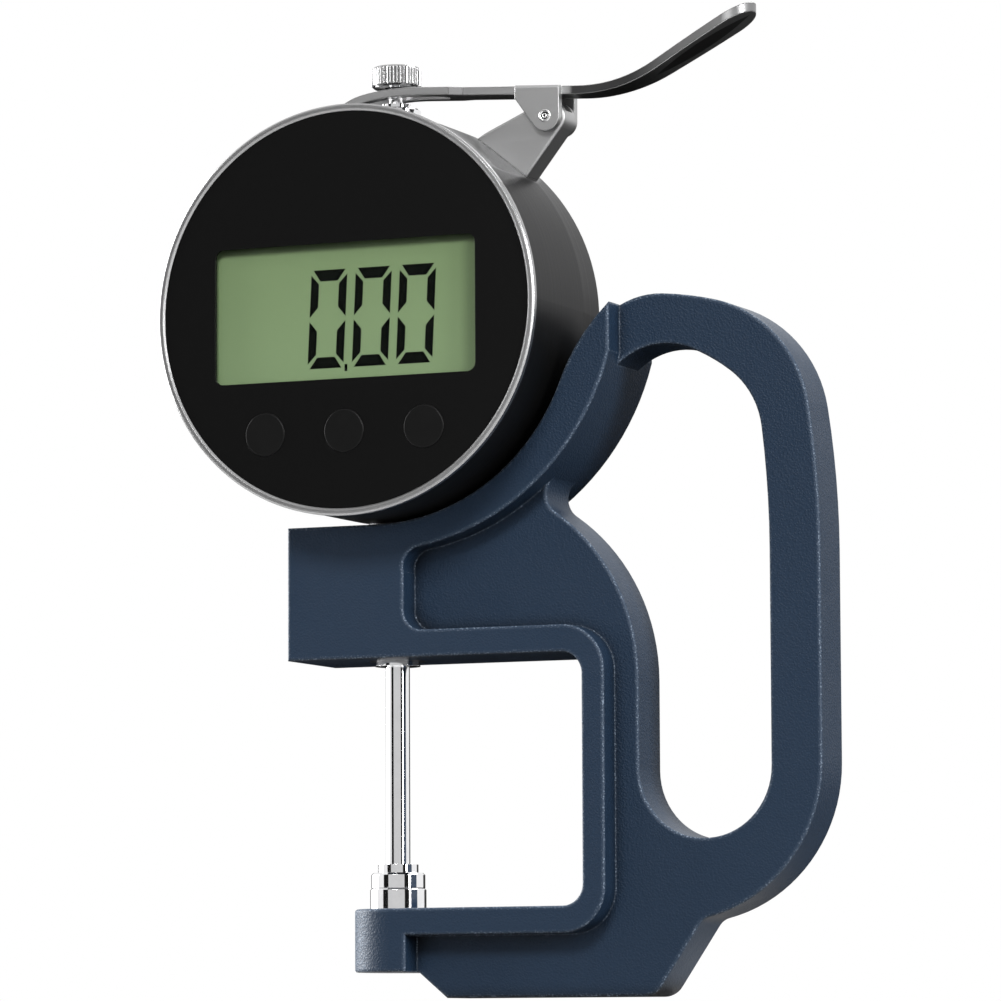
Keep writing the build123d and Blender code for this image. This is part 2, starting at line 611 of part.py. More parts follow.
def make_case_housing():
    """The round case with its bosses, posts and screw holes."""
    groove = RING_INNER_RADIUS + RING_SKIRT + SEAT_CLEARANCE
    seat = COVER_RADIUS + SEAT_CLEARANCE
    back_arc = CASE_BACK_RADIUS - CASE_BACK_ROUND
    points = [(CASE_INNER, -PANEL_BACK), (RING_INNER_RADIUS, -PANEL_BACK)]
    points += [(RING_INNER_RADIUS, -CASE_FRONT + RING_SKIRT_DEPTH), (groove, -CASE_FRONT + RING_SKIRT_DEPTH)]
    points += [(groove, -CASE_FRONT), (CASE_RADIUS, -CASE_FRONT), (CASE_RADIUS, 0.0)]
    points += [(CASE_BACK_RADIUS, CASE_BACK - CASE_BACK_ROUND * 1.5), (back_arc, CASE_BACK)]
    points += [(seat, CASE_BACK), (seat, COVER_INNER), (CASE_OPENING_RADIUS, COVER_INNER)]
    points += [(CASE_OPENING_RADIUS, FLOOR_INNER), (CASE_INNER, FLOOR_INNER)]
    case = turned(points)
    for angle in POST_ANGLES:
        x, z = on_circle(POST_CIRCLE, angle)
        case += disc(POST_RADIUS, -BOARD_BACK, COVER_INNER, x, z)
    case += shell_boss(STEM_BOSS, -1) + shell_boss(COLLAR_BOSS, 1)
    case -= rod(STEM_DIAMETER / 2 + SEAT_CLEARANCE, DIAL_Z - CASE_RADIUS - 1, DIAL_Z - CASE_INNER / 2)
    case -= rod(COLLAR_THREAD / 2 + SEAT_CLEARANCE, DIAL_Z + CASE_INNER / 2, DIAL_Z + CASE_RADIUS)
    case -= rod(COLLAR_DIAMETER / 2 + SEAT_CLEARANCE, COLLAR_SEAT_Z, DIAL_Z + CASE_RADIUS + 1)
    for angle in POST_ANGLES:
        x, z = on_circle(POST_CIRCLE, angle)
        bottom = BOARD_SCREW_LENGTH - BOARD_FRONT + 0.5
        case -= disc(BOARD_SCREW / 2 + SEAT_CLEARANCE, -BOARD_FRONT - 1, bottom, x, z)
    for angle in COVER_SCREW_ANGLES:
        x, z = on_circle(COVER_SCREW_CIRCLE, angle)
        case -= disc(COVER_SCREW / 2 + SEAT_CLEARANCE, FLOOR_INNER - 1, CASE_BACK + 1, x, z)
    flat_middle = (CASE_BACK - BRACKET_FLAT_FRONT) / 2
    case -= BRACKET_PLACE * Pos(0, flat_middle, 3) * Box(16, CASE_BACK + BRACKET_FLAT_FRONT, 6)
    for seat in BRACKET_SCREW_SEATS:
        hole = Cylinder(BRACKET_SCREW / 2 + SEAT_CLEARANCE, BRACKET_SCREW_LENGTH * 2 - 1)
        case -= BRACKET_PLACE * Pos(seat, 0, 0) * hole
    return case


def make_top_collar():
    """The two-stepped guide collar on top of the case."""
    low = DIAL_Z + CASE_INNER - COLLAR_BOSS[2]
    top = COLLAR_TIER_Z + COLLAR_TIER_HEIGHT
    lower = rod(COLLAR_DIAMETER / 2, COLLAR_SEAT_Z, COLLAR_TIER_Z)
    lower = chamfer(lower.edges().filter_by(GeomType.CIRCLE).sort_by(Axis.Z)[-1], 0.2)
    collar = lower + rod(COLLAR_THREAD / 2, low, COLLAR_SEAT_Z) + rod(COLLAR_TIER / 2, COLLAR_TIER_Z, top)
    return collar - rod(TOP_ROD_RADIUS + SLIDE_CLEARANCE, low - 1, top + 1)


def make_bezel_ring():
    """The thin ring around the panel, with the skirt that presses into the case."""
    skirt = RING_INNER_RADIUS + RING_SKIRT
    points = [(RING_INNER_RADIUS, -CASE_FRONT + RING_SKIRT_DEPTH), (skirt, -CASE_FRONT + RING_SKIRT_DEPTH)]
    points += [(skirt, -CASE_FRONT), (RING_RADIUS, -CASE_FRONT), (RING_RADIUS, -RING_FRONT + RING_BEVEL)]
    points += [(RING_RADIUS - RING_BEVEL, -RING_FRONT), (RING_INNER_RADIUS + RING_BEVEL, -RING_FRONT)]
    points += [(RING_INNER_RADIUS, -RING_FRONT + RING_BEVEL)]
    return turned(points)


def make_front_panel():
    """The black panel with its window and key holes."""
    panel = disc(PANEL_RADIUS, -PANEL_FRONT, -PANEL_BACK)
    opening = window(WINDOW_WIDTH, WINDOW_HEIGHT, PANEL_THICKNESS * 2, WINDOW_CORNER)
    wide, high = LENS_WIDTH + 2 * SEAT_CLEARANCE, LENS_HEIGHT + 2 * SEAT_CLEARANCE
    recess = window(wide, high, LENS_THICKNESS, WINDOW_CORNER)
    panel -= Pos(0, -PANEL_FRONT, 0) * opening + Pos(0, -PANEL_BACK, 0) * recess
    for x in KEY_PLACES:
        panel -= disc(KEY_DIAMETER / 2 + SLIDE_CLEARANCE, -PANEL_FRONT - 1, -PANEL_BACK + 1, x, KEY_Z)
    return panel


def make_window_lens():
    """The clear window behind the panel."""
    lens = window(LENS_WIDTH, LENS_HEIGHT, LENS_THICKNESS / 2, WINDOW_CORNER)
    return Pos(0, -PANEL_BACK - LENS_THICKNESS / 2, 0) * lens


def make_display_cell():
    """The liquid-crystal cell."""
    cell = window(CELL_WIDTH, CELL_HEIGHT, CELL_THICKNESS / 2, CELL_CORNER)
    return Pos(0, -(CELL_FRONT + CELL_BACK) / 2, 0) * cell


def make_display_frame():
    """The carrier that stands on the board and holds the cell."""
    depth = CELL_FRONT - BOARD_FRONT
    wide, high = CELL_WIDTH + 2 * FRAME_WALL, CELL_HEIGHT + 2 * FRAME_WALL
    frame = window(wide, high, depth / 2, FRAME_WALL)
    frame -= window(CELL_WIDTH - 2 * CELL_LEDGE, CELL_HEIGHT - 2 * CELL_LEDGE, depth, CELL_CORNER)
    wide, high = CELL_WIDTH + 2 * SEAT_CLEARANCE, CELL_HEIGHT + 2 * SEAT_CLEARANCE
    seat = window(wide, high, CELL_THICKNESS, CELL_CORNER)
    middle = -(CELL_FRONT + BOARD_FRONT) / 2
    return Pos(0, middle, 0) * frame - Pos(0, -CELL_FRONT, 0) * seat


def make_contact_strips():
    """Two rubber connectors between the board and the cell."""
    half = CELL_WIDTH / 2 - CELL_LEDGE - CELL_CORNER
    edge = CELL_HEIGHT / 2 - CELL_LEDGE - SMALL_GAP
    middle = DIAL_Z + WINDOW_RISE
    strips = []
    for low in (middle + edge - STRIP_WIDTH, middle - edge):
        high = low + STRIP_WIDTH
        strips.append(block(SPINDLE_X - half, SPINDLE_X + half, -CELL_BACK, -BOARD_FRONT, low, high))
    return Compound(children=strips)


def make_main_board():
    """The round board that carries the display, the switches and the reader."""
    board = disc(BOARD_RADIUS, -BOARD_FRONT, -BOARD_BACK)
    for angle in POST_ANGLES:
        x, z = on_circle(POST_CIRCLE, angle)
        board -= disc(BOARD_SCREW / 2 + SEAT_CLEARANCE, -BOARD_FRONT - 1, -BOARD_BACK + 1, x, z)
    return board


def make_board_screws():
    """Four screws through the board into the case's posts."""
    screws = []
    for angle in POST_ANGLES:
        x, z = on_circle(POST_CIRCLE, angle)
        screw = headed_screw(BOARD_SCREW, BOARD_SCREW_LENGTH, BOARD_SCREW_HEAD,
                             BOARD_SCREW_HEAD_HEIGHT)
        screws.append(Pos(x, -BOARD_FRONT, z) * Rot(90, 0, 0) * screw)
    return Compound(children=screws)


def make_key(x):
    """One flush key with its retaining flange and the stem to its switch."""
    cap = disc(KEY_DIAMETER / 2, -PANEL_FRONT - KEY_PROUD, -PANEL_BACK, x, KEY_Z)
    cap = fillet(cap.edges().filter_by(GeomType.CIRCLE).sort_by(Axis.Y)[0], KEY_CHAMFER)
    flange = disc(KEY_FLANGE / 2, -PANEL_BACK + SEAT_CLEARANCE, KEY_FLANGE_THICKNESS - PANEL_BACK, x, KEY_Z)
    neck = disc(KEY_STEM / 2, -PANEL_BACK, -SWITCH_FRONT - KEY_TRAVEL - SMALL_GAP, x, KEY_Z)
    return cap + flange + neck


def make_key_switches():
    """Three small push switches under the keys."""
    switches = []
    for x in KEY_PLACES:
        half = SWITCH_SIZE / 2
        body = block(x - half, x + half, -BOARD_FRONT - SWITCH_HEIGHT, -BOARD_FRONT,
                     KEY_Z - half, KEY_Z + half)
        switches.append(body + disc(SWITCH_BUTTON / 2, -SWITCH_FRONT, -BOARD_FRONT, x, KEY_Z))
    return Compound(children=switches)


def make_reader_board():
    """The board that reads the moving scale."""
    half_width, half_height = READER_SIZE[0] / 2, READER_SIZE[1] / 2
    front = -READER_BACK - READER_THICKNESS
    return block(SPINDLE_X - half_width, SPINDLE_X + half_width, front, -READER_BACK,
                 DIAL_Z - half_height, DIAL_Z + half_height)


def make_board_headers():
    """Two pin headers that hold the reader board off the main board."""
    headers = []
    for side in (-1, 1):
        x = SPINDLE_X + side * HEADER_OFFSET
        half = HEADER_WIDTH / 2
        headers.append(block(x - half, x + half, -BOARD_BACK, -READER_BACK - READER_THICKNESS,
                             DIAL_Z - READER_SIZE[1] / 2 + 1, DIAL_Z + READER_SIZE[1] / 2 - 1))
    return Compound(children=headers)


def make_back_cover():
    """The rear cover with its battery well, guide ridges and spring boss."""
    cover = disc(COVER_RADIUS, COVER_INNER, CASE_BACK)
    well_radius = BATTERY_BORE + BATTERY_WELL_WALL
    cover += disc(well_radius, WELL_INNER - BATTERY_WELL_FLOOR, COVER_INNER, BATTERY_AT)
    cover -= disc(BATTERY_BORE, WELL_INNER, CASE_BACK + 1, BATTERY_AT)
    cover -= disc(CAP_DIAMETER / 2 + SEAT_CLEARANCE, CASE_BACK - CAP_THICKNESS, CASE_BACK + 1, BATTERY_AT)
    gap = GUIDE_PIN / 2 + SLIDE_CLEARANCE
    for side in (-1, 1):
        near, far = SPINDLE_X + side * gap, SPINDLE_X + side * (gap + RIDGE_WIDTH)
        cover += block(min(near, far), max(near, far), COVER_INNER - RIDGE_DEPTH, COVER_INNER,
                       DIAL_Z + RIDGE_LOW, DIAL_Z + RIDGE_HIGH)
    boss_z = DIAL_Z + SPRING_LOW
    cover += disc(SPRING_BOSS / 2, COVER_INNER - SPRING_BOSS_HEIGHT, COVER_INNER, SPRING_AT, boss_z)
    cover -= disc(SPRING_PIN / 2 + SEAT_CLEARANCE, 0, COVER_INNER - 0.4, SPRING_AT, boss_z)
    for angle in COVER_SCREW_ANGLES:
        x, z = on_circle(COVER_SCREW_CIRCLE, angle)
        cover -= disc(COVER_SCREW / 2 + SEAT_CLEARANCE, COVER_INNER - 1, CASE_BACK + 1, x, z)
        head = COVER_SCREW_HEAD / 2 + SMALL_GAP
        cover -= disc(head, CASE_BACK - COVER_SCREW_HEAD_HEIGHT, CASE_BACK + 1, x, z)
    return cover


def make_cover_screws():
    """Four flush screws in the rear cover."""
    screws = []
    for angle in COVER_SCREW_ANGLES:
        x, z = on_circle(COVER_SCREW_CIRCLE, angle)
        screw = headed_screw(COVER_SCREW, COVER_SCREW_LENGTH, COVER_SCREW_HEAD,
                             COVER_SCREW_HEAD_HEIGHT)
        screws.append(Pos(x, CASE_BACK - COVER_SCREW_HEAD_HEIGHT, z) * Rot(-90, 0, 0) * screw)
    return Compound(children=screws)


def make_battery_cap():
    """The round battery cap with its coin slot."""
    cap = disc(CAP_DIAMETER / 2, CASE_BACK - CAP_THICKNESS, CASE_BACK, BATTERY_AT)
    length, width, depth = CAP_SLOT
    slot = block(BATTERY_AT - length / 2, BATTERY_AT + length / 2, CASE_BACK - depth, CASE_BACK + 1,
                 DIAL_Z - width / 2, DIAL_Z + width / 2)
    return cap - slot


def make_coin_cell():
    """The button cell in its well."""
    front = WELL_INNER + CONTACT_STRIP
    back = front + BATTERY_HEIGHT
    lid = disc(BATTERY_DIAMETER / 2 - 0.8, front, back, BATTERY_AT)
    return lid + disc(BATTERY_DIAMETER / 2, front + 0.5, back, BATTERY_AT)


def make_battery_contacts():
    """The strip under the cell and the clip beside it."""
    half = BATTERY_DIAMETER / 4
    floor = block(BATTERY_AT - half, BATTERY_AT + half, WELL_INNER, WELL_INNER + CONTACT_STRIP,
                  DIAL_Z - half / 2, DIAL_Z + half / 2)
    edge = BATTERY_AT + BATTERY_DIAMETER / 2 + SEAT_CLEARANCE
    clip = block(edge, BATTERY_AT + BATTERY_BORE - SMALL_GAP, WELL_INNER + 1.2, WELL_INNER + 4.2,
                 DIAL_Z - half / 4, DIAL_Z + half / 4)
    return Compound(children=[floor, clip])


def make_spring_post():
    """The fixed pin of the return spring."""
    back = COVER_INNER - 0.4
    return disc(SPRING_PIN / 2, -SPRING_RING, back, SPRING_AT, DIAL_Z + SPRING_LOW)


def make_spring_pin():
    """The moving pin of the return spring, on the carrier's lug."""
    back = LUG_FRONT + LUG_DEPTH
    return disc(SPRING_PIN / 2, -SPRING_RING, back, SPRING_AT, DIAL_Z + SPRING_HIGH)


def make_return_spring():
    """The tension spring that pulls the spindle down, with a ring at each end."""
    wire = SPRING_WIRE / 2
    mean = (SPRING_DIAMETER - SPRING_WIRE) / 2
    ring = SPRING_PIN / 2 + 0.15 + wire
    low, high = DIAL_Z + SPRING_LOW + ring, DIAL_Z + SPRING_HIGH - ring
    path = Helix((high - low) / SPRING_TURNS, high - low, mean)
    coil = sweep(Plane(path @ 0, z_dir=path % 0) * Circle(wire), path=path, is_frenet=True)
    spring = Pos(SPRING_AT, 0, low) * coil
    for z in (low, high):
        spring += Pos(SPRING_AT + mean / 2, 0, z) * Rot(0, 90, 0) * Cylinder(wire * 0.9, mean + wire)
    for z in (DIAL_Z + SPRING_LOW, DIAL_Z + SPRING_HIGH):
        spring += Pos(SPRING_AT, 0, z) * Rot(90, 0, 0) * Torus(ring, wire)
    return spring


def make_spindle():
    """The stepped measuring rod."""
    shoulder = DIAL_Z + SHOULDER_ABOVE_DIAL
    lower = rod(ROD_RADIUS, CONTACT_TOP_Z, shoulder)
    lower = chamfer(lower.edges().filter_by(GeomType.CIRCLE).sort_by(Axis.Z)[-1], 0.3)
    upper = rod(TOP_ROD_RADIUS, shoulder - 0.5, KNOB_UNDER_Z + KNOB_HEIGHT * KNOB_SEAT)
    stud_top = CONTACT_TOP_Z + CONTACT_STUD_LENGTH + 0.2
    return lower + upper - rod(CONTACT_STUD / 2 + SEAT_CLEARANCE, CONTACT_TOP_Z - 1, stud_top)


def make_lifting_knob():
    """The fluted knob on the top of the rod."""
    top = KNOB_UNDER_Z + KNOB_HEIGHT
    knob = rod(KNOB_DIAMETER / 2, KNOB_UNDER_Z, top)
    knob = chamfer(knob.edges().filter_by(GeomType.CIRCLE), KNOB_CHAMFER)
    for index in range(KNOB_FLUTES):
        angle = 360 / KNOB_FLUTES * index
        flute = Pos(KNOB_DIAMETER / 2, 0, top) * Rot(0, 0, 45)
        flute = flute * Box(KNOB_FLUTE_DEPTH * sqrt(2), KNOB_FLUTE_DEPTH * sqrt(2), KNOB_HEIGHT * 3)
        knob -= Pos(SPINDLE_X, 0, 0) * Rot(0, 0, angle) * flute
    seat = KNOB_UNDER_Z + KNOB_HEIGHT * KNOB_SEAT
    return knob - rod(TOP_ROD_RADIUS + SEAT_CLEARANCE, KNOB_UNDER_Z - 1, seat)


def make_contact_point():
    """The flat measuring contact screwed into the rod."""
    face = ANVIL_FACE_Z + CONTACT_GAP
    body = rod(CONTACT_DIAMETER / 2, face, face + CONTACT_HEIGHT)
    body = chamfer(body.edges().filter_by(GeomType.CIRCLE).sort_by(Axis.Z)[-1], 0.3)
    flange = rod(CONTACT_FLANGE / 2, face + CONTACT_HEIGHT, CONTACT_TOP_Z)
    return body + flange + rod(CONTACT_STUD / 2, face, CONTACT_TOP_Z + CONTACT_STUD_LENGTH)


def make_scale_carrier():
    """The block clamped to the rod, with its scale bar and spring lug."""
    width, depth, height = CARRIER_SIZE
    low, high = DIAL_Z - height / 2, DIAL_Z + height / 2
    block_front = CARRIER_REAR - depth
    carrier = block(SPINDLE_X - width / 2, SPINDLE_X + width / 2, block_front, CARRIER_REAR, low, high)
    bar_width, bar_length = CARRIER_BAR
    middle = DIAL_Z + CARRIER_BAR_RISE
    carrier += block(SPINDLE_X - bar_width / 2, SPINDLE_X + bar_width / 2, -BAR_FRONT, block_front,
                     middle - bar_length / 2, middle + bar_length / 2)
    pin_z = DIAL_Z + SPRING_HIGH
    carrier += block(SPRING_AT - SPRING_PIN, SPINDLE_X, LUG_FRONT, LUG_FRONT + LUG_DEPTH,
                     pin_z - SPRING_PIN, pin_z + SPRING_PIN)
    carrier -= rod(ROD_RADIUS + SEAT_CLEARANCE, low - 1, high + 1)
    carrier -= disc(GUIDE_PIN / 2 + SEAT_CLEARANCE, 0, CARRIER_REAR + 1, SPINDLE_X, GUIDE_PIN_Z)
    carrier -= disc(GRUB_SCREW / 2 + SEAT_CLEARANCE, 0, CARRIER_REAR + 1, SPINDLE_X, DIAL_Z + GRUB_SCREW_RISE)
    return carrier - disc(SPRING_PIN / 2 + SEAT_CLEARANCE, 0, LUG_FRONT + LUG_DEPTH + 1, SPRING_AT, pin_z)


def make_scale_strip():
    """The glass scale on the carrier's bar."""
    middle = DIAL_Z + CARRIER_BAR_RISE
    half = CARRIER_BAR[1] / 2
    return block(SPINDLE_X - SCALE_WIDTH / 2, SPINDLE_X + SCALE_WIDTH / 2,
                 -BAR_FRONT - SCALE_THICKNESS, -BAR_FRONT, middle - half, middle + half)


def make_carrier_screw():
    """The grub screw that clamps the carrier to the rod."""
    seat = ROD_RADIUS + SMALL_GAP
    length = CARRIER_REAR - seat - SMALL_GAP
    return Pos(SPINDLE_X, seat, DIAL_Z + GRUB_SCREW_RISE) * set_screw(GRUB_SCREW, length)


def make_guide_pin():
    """The pin between the cover's ridges that keeps the rod from turning."""
    front = ROD_RADIUS + SMALL_GAP
    return disc(GUIDE_PIN / 2, front, front + GUIDE_PIN_LENGTH, SPINDLE_X, GUIDE_PIN_Z)


def lever_profile(drop):
    """The lever's side profile from the fork's tip to the pad's end, lowered square to itself."""
    bow_centre = Vector(LEVER_APEX[0], LEVER_APEX[1] - LEVER_BOW_RADIUS)
    toe_angle = acos((LEVER_TOE_X - bow_centre.X) / LEVER_BOW_RADIUS)
    reach = LEVER_BOW_RADIUS - LEVER_TOE_RADIUS
    toe_centre = bow_centre + Vector(cos(toe_angle), sin(toe_angle)) * reach
    tip_angle = acos((LEVER_TIP_X - toe_centre.X) / LEVER_TOE_RADIUS)
    toe = CenterArc(at_head(toe_centre.X, toe_centre.Y), LEVER_TOE_RADIUS - drop, degrees(tip_angle),
                    degrees(toe_angle - tip_angle))
    bow = CenterArc(at_head(bow_centre.X, bow_centre.Y), LEVER_BOW_RADIUS - drop, degrees(toe_angle),
                    90 - LEVER_SLOPE - degrees(toe_angle))
    slope = radians(LEVER_SLOPE)
    along, up = Vector(cos(slope), -sin(slope)), Vector(sin(slope), cos(slope))
    bow_end = bow_centre + up * LEVER_BOW_RADIUS
    bend_start = bow_end + along * ((LEVER_BEND_X - bow_end.X) / along.X)
    bend_centre = bend_start + up * LEVER_BEND_RADIUS
    bend = CenterArc(at_head(bend_centre.X, bend_centre.Y), LEVER_BEND_RADIUS + drop, -90 - LEVER_SLOPE,
                     LEVER_SLOPE + PAD_SLOPE)
    heading = Vector(cos(radians(PAD_SLOPE)), sin(radians(PAD_SLOPE)))
    length = (SPINDLE_X + PAD_END_X + drop * heading.Y - (bend @ 1).X) / heading.X
    return [toe, bow, Line(bow @ 1, bend @ 0), bend, Line(bend @ 1, (bend @ 1) + heading * length)]


def lever_plan():
    """The lever's outline seen from above."""
    half_ear = EAR_GAP / 2 + SHEET
    pad_start = SPINDLE_X + PAD_END_X - PAD_WIDTH / 2
    ear_left, ear_right = PIVOT[0] - EAR_LEFT, PIVOT[0] + EAR_RADIUS
    steps = [(LEVER_TIP_X - 1, FORK_WIDTH / 2), (SLOT_END_X + 1, FORK_WIDTH / 2)]
    steps += [(SLOT_END_X + 3, ARM_WIDTH / 2), (ear_left, ARM_WIDTH / 2), (ear_left, half_ear)]
    steps += [(ear_right, half_ear), (ear_right, NECK_WIDTH / 2), (LEVER_BEND_X + 2.6, NECK_WIDTH / 2)]
    upper = [(SPINDLE_X + x, y) for x, y in steps]
    lower = [(x, -y) for x, y in reversed(upper)]
    pad = (pad_start, PAD_WIDTH / 2)
    flare = Spline(upper[-1], pad, tangents=[(1, 0), (1, 0)])
    end = CenterArc((pad_start, 0), PAD_WIDTH / 2, 90, -180)
    back = Spline((pad_start, -PAD_WIDTH / 2), lower[0], tangents=[(-1, 0), (-1, 0)])
    edges = lines(upper) + [flare, end, back] + lines(lower) + [Line(lower[-1], upper[0])]
    return Face(Wire(edges))


def ear_edges():
    """One ear of the lever seen from the front."""
    pin_x, pin_z = at_head(*PIVOT)
    left, right = pin_x - EAR_LEFT, pin_x + EAR_RADIUS
    drop = tan(radians(LEVER_SLOPE)) * (PIVOT[0] - LEVER_APEX[0])
    root = DIAL_Z + LEVER_APEX[1] - SHEET / 2 - drop
    shoulder = pin_z + EAR_SHOULDER
    reach = hypot(EAR_LEFT, EAR_SHOULDER)
    angle = degrees(atan2(EAR_SHOULDER, -EAR_LEFT) + acos(EAR_RADIUS / reach))
    curl = CenterArc((pin_x, pin_z), EAR_RADIUS, angle, 360 - angle)
    edges = lines([(left, root), (left, shoulder), curl @ 0]) + [curl]
    return edges + lines([curl @ 1, (right, root), (left, root)])


def pad_dish(level):
    """A leaf-shaped tapered wedge under the pad's surface, its top at a given level."""
    pad = lever_profile(0.0)[-1]
    middle = pad @ 0.45
    heading = pad % 0.5
    place = Plane(origin=(middle.X, 0, middle.Y), x_dir=(heading.X, 0, heading.Y),
                  z_dir=(-heading.Y, 0, heading.X)).location
    half_length, half_width = DISH_LENGTH / 2, DISH_WIDTH / 2
    left, right = (-half_length, 0), (half_length, 0)
    leaf = [ThreePointArc(left, (0, half_width), right), ThreePointArc(right, (0, -half_width), left)]
    return place * Pos(0, 0, level) * extrude(Face(Wire(leaf)), -DISH_DEPTH, taper=DISH_TAPER)


def make_lift_lever():
    """The pressed lever: forked end, side ears with the pivot holes, and the finger pad."""
    top, bottom = lever_profile(0.0), lever_profile(SHEET)
    ends = [Line(top[-1] @ 1, bottom[-1] @ 1), Line(bottom[0] @ 0, top[0] @ 0)]
    strip = slab(top + bottom + ends, EAR_GAP * 2 + SHEET * 2)
    strip &= Pos(0, 0, DIAL_Z) * extrude(lever_plan(), LEVER_APEX[1] * 2, dir=(0, 0, 1))
    slot_end = SPINDLE_X + SLOT_END_X - FORK_SLOT / 2
    low, high = DIAL_Z + LEVER_APEX[1] / 2, DIAL_Z + LEVER_APEX[1] * 2
    strip -= block(SPINDLE_X + LEVER_TIP_X * 2, slot_end, -FORK_SLOT / 2, FORK_SLOT / 2, low, high)
    strip -= rod(FORK_SLOT / 2, low, high, slot_end)
    lever = strip + slab(ear_edges(), EAR_GAP + 2 * SHEET) - slab_core(ear_edges())
    half = EAR_GAP / 2 + SHEET
    pin_x, pin_z = at_head(*PIVOT)
    folds = [e for e in lever.edges().filter_by(GeomType.LINE)
             if abs(abs(e.center().Y) - half) < 1e-4 and e.length > EAR_LEFT
             and e.center().Z > pin_z + EAR_SHOULDER]
    lever = fillet(folds, SHEET * 0.4)
    lever -= disc(PIN_DIAMETER / 2 + SEAT_CLEARANCE, -half * 2, half * 2, pin_x, pin_z)
    return lever + pad_dish(SMALL_GAP - SHEET) - pad_dish(0.0)


def slab_core(edges):
    """The free space between the lever's ears, below the strip."""
    top, bottom = lever_profile(0.0), lever_profile(SHEET)
    ends = [Line(top[-1] @ 1, bottom[-1] @ 1), Line(bottom[0] @ 0, top[0] @ 0)]
    return slab(edges, EAR_GAP) - slab(top + bottom + ends, EAR_GAP * 2)


def make_pivot_pin():
    """The pivot pin with its rolled heads."""
    half = EAR_GAP / 2 + SHEET
    x, z = at_head(*PIVOT)
    pin = disc(PIN_DIAMETER / 2, -half, half, x, z)
    for front, back in [(-half - PIN_HEAD_HEIGHT, -half), (half, half + PIN_HEAD_HEIGHT)]:
        pin += disc(PIN_HEAD / 2, front, back, x, z) - disc(PIN_DIMPLE / 2, front, back, x, z)
    return pin


def make_lever_spring():
    """The light coil spring round the pin, with one leg under the lever and one towards the case."""
    mean = PIN_DIAMETER / 2 + 0.25 + LEVER_SPRING_WIRE / 2
    pitch = LEVER_SPRING_WIRE + 0.1
    height = pitch * (LEVER_SPRING_TURNS + (90 - BRACKET_ANGLE) / 360)
    path = Helix(pitch, height, mean)
    wire = LEVER_SPRING_WIRE / 2
    spring = sweep(Plane(path @ 0, z_dir=path % 0) * Circle(wire), path=path, is_frenet=True)
    for place, side in ((0, -1), (1, 1)):
        heading = (path % place) * side
        reach = LEVER_SPRING_LEGS[place]
        leg = Plane(path @ place, z_dir=heading).location * Pos(0, 0, reach / 2) * Cylinder(wire, reach)
        spring += leg
    x, z = at_head(*PIVOT)
    return Pos(x, -height / 2, z) * Rot(-90, 0, 0) * spring


def make_lever_bracket():
    """The folded channel that stands on the case and carries the lever's pin."""
    pin_t, pin_h = BRACKET_PIN
    shoulder_t, shoulder_h = BRACKET_SHOULDER
    reach = hypot(shoulder_t - pin_t, shoulder_h - pin_h)
    angle = degrees(atan2(shoulder_h - pin_h, shoulder_t - pin_t) - acos(BRACKET_HEAD / reach)) % 360
    curl = CenterArc(BRACKET_PIN, BRACKET_HEAD, angle, -angle)
    right = pin_t + BRACKET_HEAD
    edges = lines([(-BRACKET_LEFT, 0), BRACKET_SHOULDER, curl @ 0]) + [curl]
    edges += lines([curl @ 1, (right, 0), (-BRACKET_LEFT, 0)])
    bracket = slab(edges, BRACKET_WIDTH)
    bends = [e for e in bracket.edges() if abs(abs(e.center().Y) - BRACKET_WIDTH / 2) < 1e-4
             and (e.center().X > right - 0.1 or e.geom_type == GeomType.CIRCLE)]
    bracket = fillet(bends, BRACKET_SHEET * 0.5)
    inner = CenterArc(BRACKET_PIN, BRACKET_HEAD - BRACKET_SHEET, 0, BRACKET_WRAP)
    beyond = on_circle(BRACKET_HEAD * 2, BRACKET_WRAP, BRACKET_PIN)
    far = -BRACKET_LEFT - 5
    cut = [inner] + lines([inner @ 1, beyond, (far, beyond[1]), (far, BRACKET_SHEET),
                           (right - BRACKET_SHEET, BRACKET_SHEET), inner @ 0])
    bracket -= slab(cut, BRACKET_WIDTH - 2 * BRACKET_SHEET)
    bracket -= disc(PIN_DIAMETER / 2 + SLIDE_CLEARANCE, -BRACKET_WIDTH, BRACKET_WIDTH, pin_t, pin_h)
    for seat in BRACKET_SCREW_SEATS:
        bracket -= rod(BRACKET_SCREW / 2 + SMALL_GAP, -1, BRACKET_SHEET + 0.5, seat)
    return BRACKET_PLACE * bracket


def make_bracket_screws():
    """Two screws that hold the bracket on the case."""
    screws = []
    for seat in BRACKET_SCREW_SEATS:
        screw = headed_screw(BRACKET_SCREW, BRACKET_SCREW_LENGTH, BRACKET_SCREW_HEAD,
                             BRACKET_SCREW_HEAD_HEIGHT)
        screws.append(BRACKET_PLACE * Pos(seat, 0, BRACKET_SHEET) * screw)
    return Compound(children=screws)


